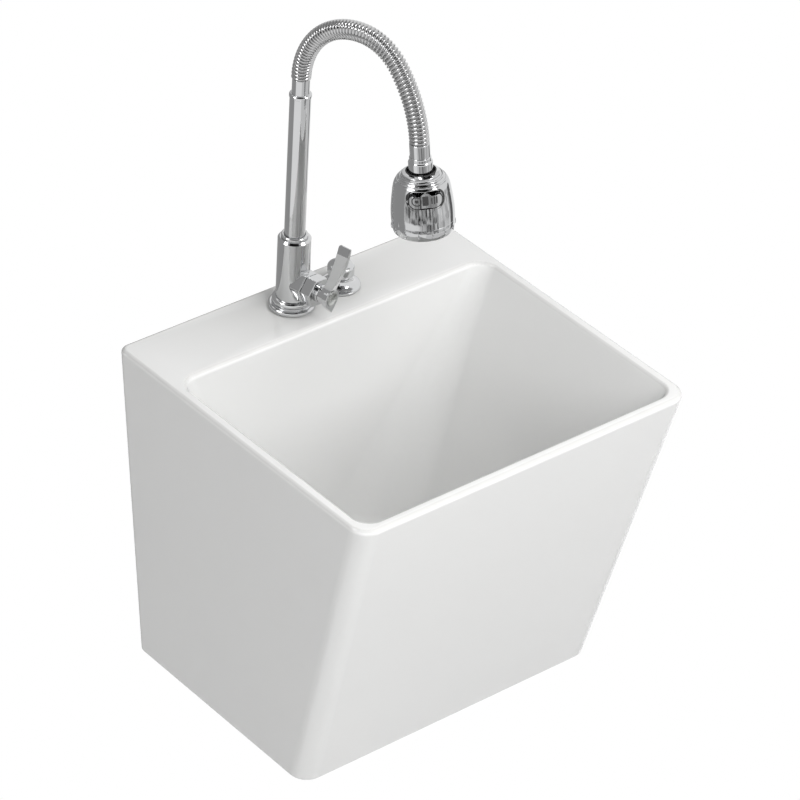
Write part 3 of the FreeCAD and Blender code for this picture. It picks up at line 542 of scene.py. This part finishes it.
def turnedSkin(bm, profile, segments=24, close=False):
    # A profile of radius and height, turned about Z into a skin; radius 0 is a pole
    rings = []
    for radius, height in profile:
        count = segments if radius else 1
        turns = [2 * math.pi * i / segments for i in range(count)]
        rings.append([bm.verts.new((radius * math.cos(turn), radius * math.sin(turn), height))
                      for turn in turns])
    pairs = list(zip(rings, rings[1:])) + ([(rings[-1], rings[0])] if close else [])
    for first, second in pairs:
        for i in range(segments):
            j = (i + 1) % segments
            corners = [first[i % len(first)], first[j % len(first)], second[j % len(second)],
                       second[i % len(second)]]
            bm.faces.new(list(dict.fromkeys(corners)))


turnedSharp = 50.0


def turnedPiece(name, profile, place, node, slot=None, stands=(), segments=64, close=False):
    # A turned piece in the given frame, from a profile in millimetres
    bm = bmesh.new()
    turnedSkin(bm, [(r * millimetre, z * millimetre) for r, z in profile], segments, close)
    smoothBySharpness(bm, turnedSharp)
    mesh = toMesh(bm, name)
    mesh.transform(place)
    return newPiece(name, mesh, node, slot, stands)


# The lever's cap is a satin dish let into its plate
capProfile = ((0, 10.0), (7.2, 10.0), (7.2, 12.1), (6.9, 12.4), (6.4, 12.2), (5.6, 11.2),
              (4.2, 10.6), (2, 10.35), (0, 10.3))
turnedPiece("capDish", capProfile, hubFrame, "lever_cap", "steel", ("lever_cap",))

# A rolled step round the tap's foot in millimetres: the radii of its wall and round, its lowest
# height, the height where the round starts, and its inner radius
footRoll = {
    "wall": 19.9, "round": 3.7, "low": 6.5, "wallTop": 9.3, "inner": 15.8, "roundSteps": 12,
    "segments": 96,
}


def makeFootRoll(values):
    middle = values["wall"] - values["round"]
    profile = [(values["inner"], values["low"]), (values["wall"], values["low"])]
    for i in range(values["roundSteps"] + 1):
        turn = math.radians(90.0 * i / values["roundSteps"])
        profile.append((middle + values["round"] * math.cos(turn),
                        values["wallTop"] + values["round"] * math.sin(turn)))
    profile.append((values["inner"], profile[-1][1]))
    turnedPiece("footRoll", profile, tapFrame, "tap_flange", segments=values["segments"], close=True)


makeFootRoll(footRoll)

# Beads round the head's crown and the seal in its mouth: radius, height and thickness from its
# middle in millimetres, and its slot
beads = {
    "sides": 16, "segments": 96,
    "pieces": {
        "crownBead0": (17.2, 3.3, 1.0, "plated_plastic"),
        "crownBead1": (20.1, 0.7, 1.0, "plated_plastic"),
        "crownBead2": (23.0, -2.3, 1.0, "plated_plastic"),
        "mouthSeal": (13.9, 5.6, 0.75, "rubber"),
    },
}


def makeBeads(values):
    turns = [2 * math.pi * i / values["sides"] for i in range(values["sides"])]
    for name, (ring, height, thick, slot) in values["pieces"].items():
        profile = [(ring + thick * math.cos(turn), height + thick * math.sin(turn)) for turn in turns]
        turnedPiece(name, profile, headFrame, "spray_shell", slot, segments=values["segments"],
                    close=True)


makeBeads(beads)
print("branch, cap and crown made")


# Geometry Nodes: a wound or threaded tube along a path
def setInputs(modifier, tree, values):
    for item in tree.interface.items_tree:
        if item.item_type == "SOCKET" and item.in_out == "INPUT" and item.name in values:
            modifier[item.identifier] = values[item.name]


def newTree(name, inputs):
    tree = bpy.data.node_groups.new(name, "GeometryNodeTree")
    tree.interface.new_socket("Geometry", in_out="INPUT", socket_type="NodeSocketGeometry")
    for title, kind in inputs:
        tree.interface.new_socket(title, in_out="INPUT", socket_type="NodeSocket" + kind)
    tree.interface.new_socket("Geometry", in_out="OUTPUT", socket_type="NodeSocketGeometry")
    given = tree.nodes.new("NodeGroupInput").outputs
    return tree, given, tree.nodes.new("NodeGroupOutput").inputs


def finishTree(tree, geometry, material, result):
    real = addNode(tree, "GeometryNodeRealizeInstances", {0: geometry}).outputs[0]
    painted = addNode(tree, "GeometryNodeSetMaterial", {"Geometry": real, "Material": material})
    tree.links.new(painted.outputs[0], result["Geometry"])


def capture(tree, geometry, title):
    # Keeps a curve's own parameter, by name of the output, for use on the swept mesh
    parameter = addNode(tree, "GeometryNodeSplineParameter").outputs[title]
    node = tree.nodes.new("GeometryNodeCaptureAttribute")
    node.capture_items.new("FLOAT", title)
    tree.links.new(geometry, node.inputs["Geometry"])
    tree.links.new(parameter, node.inputs[title])
    return node.outputs["Geometry"], node.outputs[title]


def makeWindingTree():
    # The skin sinks between two crests by the depth; a higher groove value makes the dip narrower
    tree, given, result = newTree("woundTube", [
        ("Radius", "Float"), ("Bore", "Float"), ("Depth", "Float"), ("Pitch", "Float"),
        ("Groove", "Float"), ("Rings", "Int"), ("Segments", "Int"), ("Material", "Material")])
    evened = addNode(tree, "GeometryNodeResampleCurve", {
        "Curve": given["Geometry"], "Count": given["Rings"]})
    path, along = capture(tree, evened.outputs[0], "Length")
    circle = addNode(tree, "GeometryNodeCurvePrimitiveCircle", {
        "Resolution": given["Segments"], "Radius": given["Radius"]})
    profile, around = capture(tree, circle.outputs[0], "Factor")
    skin = addNode(tree, "GeometryNodeCurveToMesh", {"Curve": path, "Profile Curve": profile}).outputs[0]
    turns = mathNode(tree, "SUBTRACT", mathNode(tree, "DIVIDE", along, given["Pitch"]), around)
    share = mathNode(tree, "FRACT", turns)
    side = mathNode(tree, "ABSOLUTE", mathNode(tree, "MULTIPLY_ADD", share, 2.0, -1.0))
    sunk = mathNode(tree, "MULTIPLY", mathNode(tree, "POWER", side, given["Groove"]), given["Depth"])
    normal = addNode(tree, "GeometryNodeInputNormal").outputs[0]
    offset = addNode(tree, "ShaderNodeVectorMath", {
        0: normal, "Scale": mathNode(tree, "MULTIPLY", sunk, -1.0)}, operation="SCALE").outputs[0]
    wound = addNode(tree, "GeometryNodeSetPosition", {"Geometry": skin, "Offset": offset}).outputs[0]
    inner = addNode(tree, "GeometryNodeCurvePrimitiveCircle", {
        "Resolution": given["Segments"], "Radius": given["Bore"]}).outputs[0]
    bore = addNode(tree, "GeometryNodeCurveToMesh", {"Curve": path, "Profile Curve": inner}).outputs[0]
    both = addNode(tree, "GeometryNodeJoinGeometry")
    tree.links.new(addNode(tree, "GeometryNodeFlipFaces", {"Mesh": bore}).outputs[0], both.inputs[0])
    tree.links.new(wound, both.inputs[0])
    finishTree(tree, both.outputs[0], given["Material"], result)
    return tree


windingTree = makeWindingTree()
rimShare = 1.5    # how far round a tube's end its rims are looked for, as a share of its radius
windingSharp = 60.0


def newPath(name, points):
    curve = bpy.data.curves.new(name, "CURVE")
    curve.dimensions = "3D"
    curve.twist_mode = "MINIMUM"
    spline = curve.splines.new("POLY")
    spline.points.add(len(points) - 1)
    for place, point in zip(spline.points, points):
        place.co = (*point, 1)
    holder = bpy.data.objects.new(name, curve)
    scene.collection.objects.link(holder)
    return holder


def runTree(holder, tree, values):
    modifier = holder.modifiers.new("made", "NODES")
    modifier.node_group = tree
    setInputs(modifier, tree, values)
    bpy.context.view_layer.update()
    graph = bpy.context.evaluated_depsgraph_get()
    mesh = bpy.data.meshes.new_from_object(holder.evaluated_get(graph), depsgraph=graph)
    bpy.data.objects.remove(holder)
    return mesh


def woundTube(name, points, values, node, stands=()):
    # The tree leaves the outer skin and the bore open; their rims are joined at both ends
    mesh = runTree(newPath(name + "Path", points), windingTree,
                   {**values, "Material": materials[slotOf[node]]})
    bm = bmesh.new()
    bm.from_mesh(mesh)
    for end in (points[0], points[-1]):
        rim = [edge for edge in bm.edges if edge.is_boundary
               and (edge.verts[0].co - end).length < rimShare * values["Radius"]]
        bmesh.ops.bridge_loops(bm, edges=rim)
    smoothBySharpness(bm, windingSharp)
    return newPiece(name, toMesh(bm, name), node, stands=stands)


# The gooseneck: radius in metres and turn in degrees of each bend, and its winding
gooseneck = {
    "bends": ((0.078, 40.0), (0.0755, 50.0), (0.0515, 50.0), (0.13, 33.0)), "bendSteps": 48,
    "crest": 9.6 * millimetre, "bore": 5.0 * millimetre, "depth": 2.1 * millimetre,
    "groove": 2.2, "ribs": 64, "ringsPerRib": 13, "segments": 56,
}


def gooseneckPath(values):
    # The spout's four tangent bends, in the plane of its riser and its outlet
    at = Vector((tapPlace.x, tapPlace.y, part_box("riser_ferrule")[1].z))
    heading = math.pi / 2
    points = [at.copy()]
    length = 0.0
    for radius, turn in values["bends"]:
        step = math.radians(turn) / values["bendSteps"]
        for _ in range(values["bendSteps"]):
            after = heading - step
            at = at + tapForward * radius * (math.sin(heading) - math.sin(after))
            at = at + upwards * radius * (math.cos(after) - math.cos(heading))
            heading = after
            points.append(at.copy())
        length += radius * math.radians(turn)
    return points, length


def makeGooseneck(values):
    points, length = gooseneckPath(values)
    woundTube("gooseneck", points, {
        "Radius": values["crest"], "Bore": values["bore"], "Depth": values["depth"],
        "Pitch": length / values["ribs"], "Groove": values["groove"],
        "Rings": values["ribs"] * values["ringsPerRib"], "Segments": values["segments"],
    }, "flex_hose", ("flex_hose",))
    print("gooseneck wound:", round(length, 4))


makeGooseneck(gooseneck)

# Threads in millimetres: how far a crest stands proud of its rod, the sleeve's sunk inside and the
# groove's depth; then each rod's radius, the thread's reach above the node's foot, and its pitch
threads = {
    "proud": 0.25, "sunk": 0.5, "depth": 0.45, "groove": 1.0, "ringsPerTurn": 10, "segments": 40,
    "rods": {
        "shank": {"radius": 10.48, "from": 1.0, "to": 50.0, "pitch": 1.8},
        "knob_housing": {"radius": 9.9, "from": 1.0, "to": 34.0, "pitch": 1.5},
        "drain_flange": {"radius": 20.0, "from": 1.0, "to": 30.0, "pitch": 2.0},
    },
}


def cutThread(node, rod, values):
    # A threaded sleeve let into the plain rod, its crests just proud of it
    foot = nodeCentre(node)
    foot.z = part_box(node)[0].z
    low = foot + upwards * rod["from"] * millimetre
    high = foot + upwards * rod["to"] * millimetre
    turns = (rod["to"] - rod["from"]) / rod["pitch"]
    woundTube(node + "Thread", [low, (low + high) / 2, high], {
        "Radius": (rod["radius"] + values["proud"]) * millimetre,
        "Bore": (rod["radius"] - values["sunk"]) * millimetre,
        "Depth": values["depth"] * millimetre, "Pitch": rod["pitch"] * millimetre,
        "Groove": values["groove"], "Rings": int(turns * values["ringsPerTurn"]),
        "Segments": values["segments"]}, node)


for node, rod in threads["rods"].items():
    cutThread(node, rod, threads)
print("threads cut:", len(threads["rods"]))


# Geometry Nodes: one item repeated round a ring, its X axis pointing outwards
def makeRingTree():
    tree, given, result = newTree("itemsRoundRing", [
        ("Count", "Int"), ("Ring", "Float"), ("Material", "Material")])
    ring = addNode(tree, "GeometryNodeMeshCircle", {"Vertices": given["Count"], "Radius": given["Ring"]})
    place = addNode(tree, "GeometryNodeInputPosition").outputs[0]
    facing = addNode(tree, "FunctionNodeAlignRotationToVector", {"Vector": place}, axis="X")
    items = addNode(tree, "GeometryNodeInstanceOnPoints", {
        "Points": ring.outputs[0], "Instance": given["Geometry"], "Rotation": facing.outputs[0]})
    finishTree(tree, items.outputs[0], given["Material"], result)
    return tree


ringTree = makeRingTree()


def itemsRoundRing(name, bm, values, slot):
    holder = bpy.data.objects.new(name, toMesh(bm, name))
    scene.collection.objects.link(holder)
    return runTree(holder, ringTree, {
        "Count": values["count"], "Ring": values["ring"], "Material": materials[slot]})


def lowestInHead(node):
    return min((toHead @ corner.co).z for corner in frame["nodes"][node].data.vertices)


# Each nozzle's profile of radius and height is in millimetres
jets = {
    "count": 12, "ring": 18.5 * millimetre, "sharp": 40.0,
    "profile": ((0, 0.6), (0.7, 0.6), (0.75, -1.1), (1.25, -1.3), (1.5, -1.1), (1.9, 0.4), (0, 0.9)),
}


def makeJets(values):
    # Rubber nozzles on the plate's underside, each with its own small bore
    bm = bmesh.new()
    turnedSkin(bm, [(r * millimetre, z * millimetre) for r, z in values["profile"]])
    smoothBySharpness(bm, values["sharp"])
    mesh = itemsRoundRing("jetItem", bm, values, "rubber")
    mesh.transform(headFrame @ Matrix.Translation((0, 0, lowestInHead("jet_plate"))))
    newPiece("sprayJets", mesh, "jet_plate", "rubber")


makeJets(jets)

# Half sizes of a rib and its height in the head, in millimetres
grips = {
    "count": 14, "ring": 29.5 * millimetre, "proud": 0.95, "wide": 0.8, "high": 3.4, "at": -49.2,
    "wayRound": 9.0, "around": 16, "upward": 10,
}


def makeGrips(values):
    # Low upright ribs round the turning ring
    bm = bmesh.new()
    bmesh.ops.create_uvsphere(
        bm, u_segments=values["around"], v_segments=values["upward"], radius=1.0)
    for corner in bm.verts:
        corner.co = Vector((corner.co.x * values["proud"], corner.co.y * values["wide"],
                            corner.co.z * values["high"])) * millimetre
    for face in bm.faces:
        face.smooth = True
    mesh = itemsRoundRing("gripItem", bm, values, "plated_plastic")
    turn = Matrix.Rotation(math.radians(values["wayRound"]), 4, "Z")
    mesh.transform(headFrame @ Matrix.Translation((0, 0, values["at"] * millimetre)) @ turn)
    newPiece("gripRibs", mesh, "spray_ring")


makeGrips(grips)

strainer = {
    "radius": 8.6 * millimetre, "pitch": 1.2 * millimetre, "wire": 0.22 * millimetre,
    "wave": 0.2 * millimetre, "steps": 40, "sides": 6,
}


def weaveWire(bm, values, index, way, low):
    # One wire, which dips under and over those that cross it
    off = index * values["pitch"]
    reach = math.sqrt(values["radius"] ** 2 - off ** 2)
    rings = []
    for i in range(values["steps"] + 1):
        along = reach * (2 * i / values["steps"] - 1)
        weave = math.cos(math.pi * (along / values["pitch"] + index + way))
        lift = low - values["wire"] + weave * values["wave"]
        ring = []
        for j in range(values["sides"]):
            turn = 2 * math.pi * j / values["sides"]
            across = off + values["wire"] * math.cos(turn)
            spot = (along, across) if way else (across, along)
            ring.append(bm.verts.new((*spot, lift + values["wire"] * math.sin(turn))))
        rings.append(ring)
    for first, second in zip(rings, rings[1:]):
        for j in range(values["sides"]):
            after = (j + 1) % values["sides"]
            bm.faces.new((first[j], first[after], second[after], second[j]))
    bm.faces.new(rings[0])
    bm.faces.new(rings[-1])


def makeStrainer(values):
    # Woven wire across the spray's middle outlet
    low = lowestInHead("aerator")
    bm = bmesh.new()
    count = int(values["radius"] / values["pitch"])
    for way in (0, 1):
        for index in range(-count, count + 1):
            weaveWire(bm, values, index, way, low)
    for face in bm.faces:
        face.smooth = len(face.verts) == 4
    mesh = toMesh(bm, "strainerWeave")
    mesh.transform(headFrame)
    newPiece("strainerWeave", mesh, "aerator")


makeStrainer(strainer)
print("spray outlet made")

# Marks on the rocker switch, and the dark joint round it, which is also painted shade of its pocket.
# Millimetres: side place, half width, half height, corner radius, and the width of the band, or 0 for a
# filled mark
marks = {
    "proud": 0.35, "sunk": 0.4, "edge": 0.15, "edgeSteps": 2, "corners": 64, "castFrom": 100.0,
    "pieces": {
        "switchRing": ("spray_switch", [(-8.8, 4.6, 4.4, 4.0, 0.8)]),
        "switchPip": ("spray_switch", [(-8.8, 1.7, 1.4, 1.4, 0)]),
        "switchPad": ("spray_switch", [(-0.6, 2.9, 4.6, 0.9, 0)]),
        "switchBars": ("spray_switch", [(5.4, 0.6, 3.2, 0.6, 0), (7.8, 0.6, 3.8, 0.6, 0),
                                        (10.2, 0.6, 3.4, 0.6, 0)]),
        # The band round the switch: the joint's own dark line, widened into painted shade of the pocket
        "switchPocketShade": ("spray_shell", [(0, 18.2, 9.4, 8.6, 1.7)]),
    },
}


def skinTree(node):
    skin = finished[node].data
    places = [toHead @ corner.co for corner in skin.vertices]
    return BVHTree.FromPolygons(places, [tuple(face.vertices) for face in skin.polygons])


def switchMiddle():
    heights = [(toHead @ corner.co).z for corner in finished["spray_switch"].data.vertices]
    return (min(heights) + max(heights)) / 2


def outline(centre, wide, high, corner, count):
    # Side place and height of each point round a mark with round corners
    spots = []
    for i in range(count):
        turn = 2 * math.pi * (i + 0.5) / count
        spots.append((
            centre + math.copysign(wide - corner, math.cos(turn)) + corner * math.cos(turn),
            math.copysign(high - corner, math.sin(turn)) + corner * math.sin(turn)))
    return spots


def layLoop(bm, loop, tree, middle, lift, values):
    # Lays a loop of points on the head's skin, lifted off it or sunk into it
    laid = []
    for side, height in loop:
        start = Vector((values["castFrom"] * millimetre, side * millimetre,
                        middle + height * millimetre))
        met = tree.ray_cast(start, Vector((-1, 0, 0)))[0]
        laid.append(bm.verts.new((met.x + lift * millimetre, start.y, start.z)))
    return laid


def makeMark(name, node, rows, tree, middle, values):
    bm = bmesh.new()
    count = values["corners"]
    for centre, wide, high, corner, band in rows:
        loops = [outline(centre, wide, high, corner, count)]
        if band:
            loops.append(outline(centre, wide - band, high - band, corner - band, count))
        tops = [layLoop(bm, loop, tree, middle, values["proud"], values) for loop in loops]
        feet = [layLoop(bm, loop, tree, middle, -values["sunk"], values) for loop in loops]
        for i in range(count):
            j = (i + 1) % count
            for top, foot in zip(tops, feet):
                bm.faces.new((top[i], top[j], foot[j], foot[i]))
            if band:
                for level in (tops, feet):
                    bm.faces.new((level[0][i], level[0][j], level[1][j], level[1][i]))
        if not band:
            bm.faces.new(tops[0])
            bm.faces.new(feet[0])
    mesh = toMesh(bm, name)
    mesh.transform(headFrame)
    piece = newPiece(name, mesh, node, "rubber")
    edges = piece.modifiers.new("edges", "BEVEL")
    edges.width = values["edge"] * millimetre
    edges.segments = values["edgeSteps"]
    bakeModifiers(piece)


skinTrees = {node: skinTree(node) for node in ("spray_switch", "spray_shell")}
middle = switchMiddle()
for name, (node, rows) in marks["pieces"].items():
    makeMark(name, node, rows, skinTrees[node], middle, marks)
print("switch marked")

# Studio: white for the camera, cards and softboxes for mirror surfaces, plain soft light for the
# rest. Each lamp has its azimuth, elevation and power
studio = {
    "ambient": 0.2, "lampDistance": 2.4, "lampSize": 1.2,
    "lamps": {
        "lowLight": (-85.0, 8.0, 17.5), "keyLight": (-30.0, 35.0, 15.0),
        "frontLight": (5.0, 35.0, 12.0), "rightLight": (30.0, 35.0, 21.0),
        "highLight": (5.0, 60.0, 25.0), "backLight": (178.0, 30.0, 6.0),
    },
    "floorDrop": 0.5, "floorSize": 14.0, "floorTone": (0.6, 0.6, 0.6, 1), "floorRough": 0.6,
}

# Cards seen in mirrors: azimuth, elevation, half width, half height, soft edge, brightness and
# mottling, laid one over the other in this order
cards = {
    "backGrey": (-160.0, -25.0, 52.0, 64.0, 8.0, 0.37, 0.0),
    "frontGrey": (32.0, -42.0, 56.0, 12.0, 6.0, 0.74, 0.0),
    "frontDark": (-42.0, -15.0, 58.0, 8.0, 4.0, 0.4, 1.2),
    "rightDim": (48.0, -15.0, 26.0, 8.0, 4.0, 0.72, 0.5),
    "sideDark": (84.0, -18.0, 7.0, 12.0, 4.0, 0.14, 0.0),
    "highGrey": (-40.0, 90.0, 180.0, 36.0, 8.0, 0.3, 0.0),
    "highDark": (-40.0, 66.0, 38.0, 27.0, 5.0, 0.01, 0.0),
    "leftBox": (-110.0, 50.0, 11.0, 10.0, 1.5, 7.0, 0.0),
    "rightBox": (34.0, 50.0, 10.0, 10.0, 1.5, 7.0, 0.0),
}
mottling = {"scale": 9.0, "detail": 3.0, "gain": 4.0, "least": 0.02}


def makeLamp(name, azimuth, elevation, power, target, values):
    data = bpy.data.lights.new(name, "AREA")
    data.shape = "SQUARE"
    data.size = values["lampSize"]
    data.energy = power
    away = awayFrom(azimuth, elevation)
    lamp = bpy.data.objects.new(name, data)
    turn = away.to_track_quat("Z", "Y").to_matrix().to_4x4()
    lamp.matrix_world = Matrix.Translation(target + away * values["lampDistance"]) @ turn
    lamp.visible_glossy = False
    scene.collection.objects.link(lamp)


def anyRay(tree, *kinds):
    path = addNode(tree, "ShaderNodeLightPath").outputs
    seen = path[kinds[0]]
    for kind in kinds[1:]:
        seen = mathNode(tree, "MAXIMUM", seen, path[kind])
    return seen


def cardMask(tree, way, azimuth, elevation, wide, high, soft):
    # 1 on a card, 0 past its soft edge
    turned = addNode(tree, "ShaderNodeVectorRotate", {
        "Vector": way, "Angle": math.radians(-azimuth)}, rotation_type="Z_AXIS").outputs[0]
    x, y, z = addNode(tree, "ShaderNodeSeparateXYZ", {0: turned}).outputs
    across = mathNode(tree, "ARCTAN2", x, mathNode(tree, "MULTIPLY", y, -1.0))
    rise = mathNode(tree, "SUBTRACT", mathNode(tree, "ARCSINE", z), math.radians(elevation))
    masks = []
    for angle, half in ((across, wide), (rise, high)):
        masks.append(addNode(tree, "ShaderNodeMapRange", {
            "Value": mathNode(tree, "ABSOLUTE", angle), "From Min": math.radians(half),
            "From Max": math.radians(half + soft), "To Min": 1.0, "To Max": 0.0},
            interpolation_type="SMOOTHSTEP").outputs["Result"])
    return mathNode(tree, "MULTIPLY", *masks)


def cardLight(tree, rows, blotting):
    # The brightness of the studio in a direction: white, with each card laid over it in turn
    way = addNode(tree, "ShaderNodeTexCoord").outputs["Generated"]
    blots = addNode(tree, "ShaderNodeTexNoise", {
        "Vector": way, "Scale": blotting["scale"], "Detail": blotting["detail"]}).outputs["Fac"]
    spread = mathNode(tree, "MULTIPLY_ADD", blots, blotting["gain"], -blotting["gain"] / 2)
    light = 1.0
    for azimuth, elevation, wide, high, soft, value, mottle in rows:
        mask = cardMask(tree, way, azimuth, elevation, wide, high, soft)
        if mottle:
            blotted = mathNode(tree, "MULTIPLY_ADD", spread, value * mottle, value)
            value = mathNode(tree, "MAXIMUM", blotted, blotting["least"])
        kept = mathNode(tree, "MULTIPLY", mathNode(tree, "SUBTRACT", 1.0, mask), light)
        light = mathNode(tree, "MULTIPLY_ADD", mask, value, kept)
    return light


def makeWorld(ambient, rows):
    world = bpy.data.worlds.new("studioRoom")
    world.use_nodes = True
    scene.world = world
    tree = world.node_tree
    tree.nodes.clear()
    mirror = addNode(tree, "ShaderNodeMix", {
        0: anyRay(tree, "Is Glossy Ray"), 2: ambient, 3: cardLight(tree, rows, mottling)}).outputs[0]
    strength = addNode(tree, "ShaderNodeMix", {
        0: anyRay(tree, "Is Camera Ray", "Is Transmission Ray"), 2: mirror, 3: 1.0}).outputs[0]
    light = addNode(tree, "ShaderNodeBackground", {"Color": (1, 1, 1, 1), "Strength": strength})
    addNode(tree, "ShaderNodeOutputWorld", {"Surface": light.outputs[0]})


def makeFloor(values):
    # A pale floor that lights the sink from below and looks white, and is clear from beneath
    size = values["floorSize"]
    drop = cadBox[0].z - values["floorDrop"]
    mesh = bpy.data.meshes.new("paleFloor")
    mesh.from_pydata([(-size, -size, drop), (size, -size, drop), (size, size, drop),
                      (-size, size, drop)], [], [(0, 1, 2, 3)])
    material, tree, shader = newMaterial("paleFloor")
    shader.inputs["Base Color"].default_value = values["floorTone"]
    shader.inputs["Roughness"].default_value = values["floorRough"]
    glow = addNode(tree, "ShaderNodeEmission", {"Color": (1, 1, 1, 1), "Strength": 1.0}).outputs[0]
    seen = anyRay(tree, "Is Camera Ray", "Is Glossy Ray", "Is Transmission Ray")
    mix = addNode(tree, "ShaderNodeMixShader", {0: seen, 1: shader.outputs[0], 2: glow})
    below = addNode(tree, "ShaderNodeNewGeometry").outputs["Backfacing"]
    clear = addNode(tree, "ShaderNodeBsdfTransparent").outputs[0]
    shown = addNode(tree, "ShaderNodeMixShader", {0: below, 1: mix.outputs[0], 2: clear})
    tree.links.new(shown.outputs[0], tree.nodes["Material Output"].inputs["Surface"])
    mesh.materials.append(material)
    floor = bpy.data.objects.new("paleFloor", mesh)
    floor.visible_glossy = False
    scene.collection.objects.link(floor)


makeWorld(studio["ambient"], cards.values())
makeFloor(studio)
for name, (azimuth, elevation, power) in studio["lamps"].items():
    makeLamp(name, azimuth, elevation, power, nodeCentre("basin"), studio)
scene.view_settings.view_transform = "Standard"
print("studio lit")
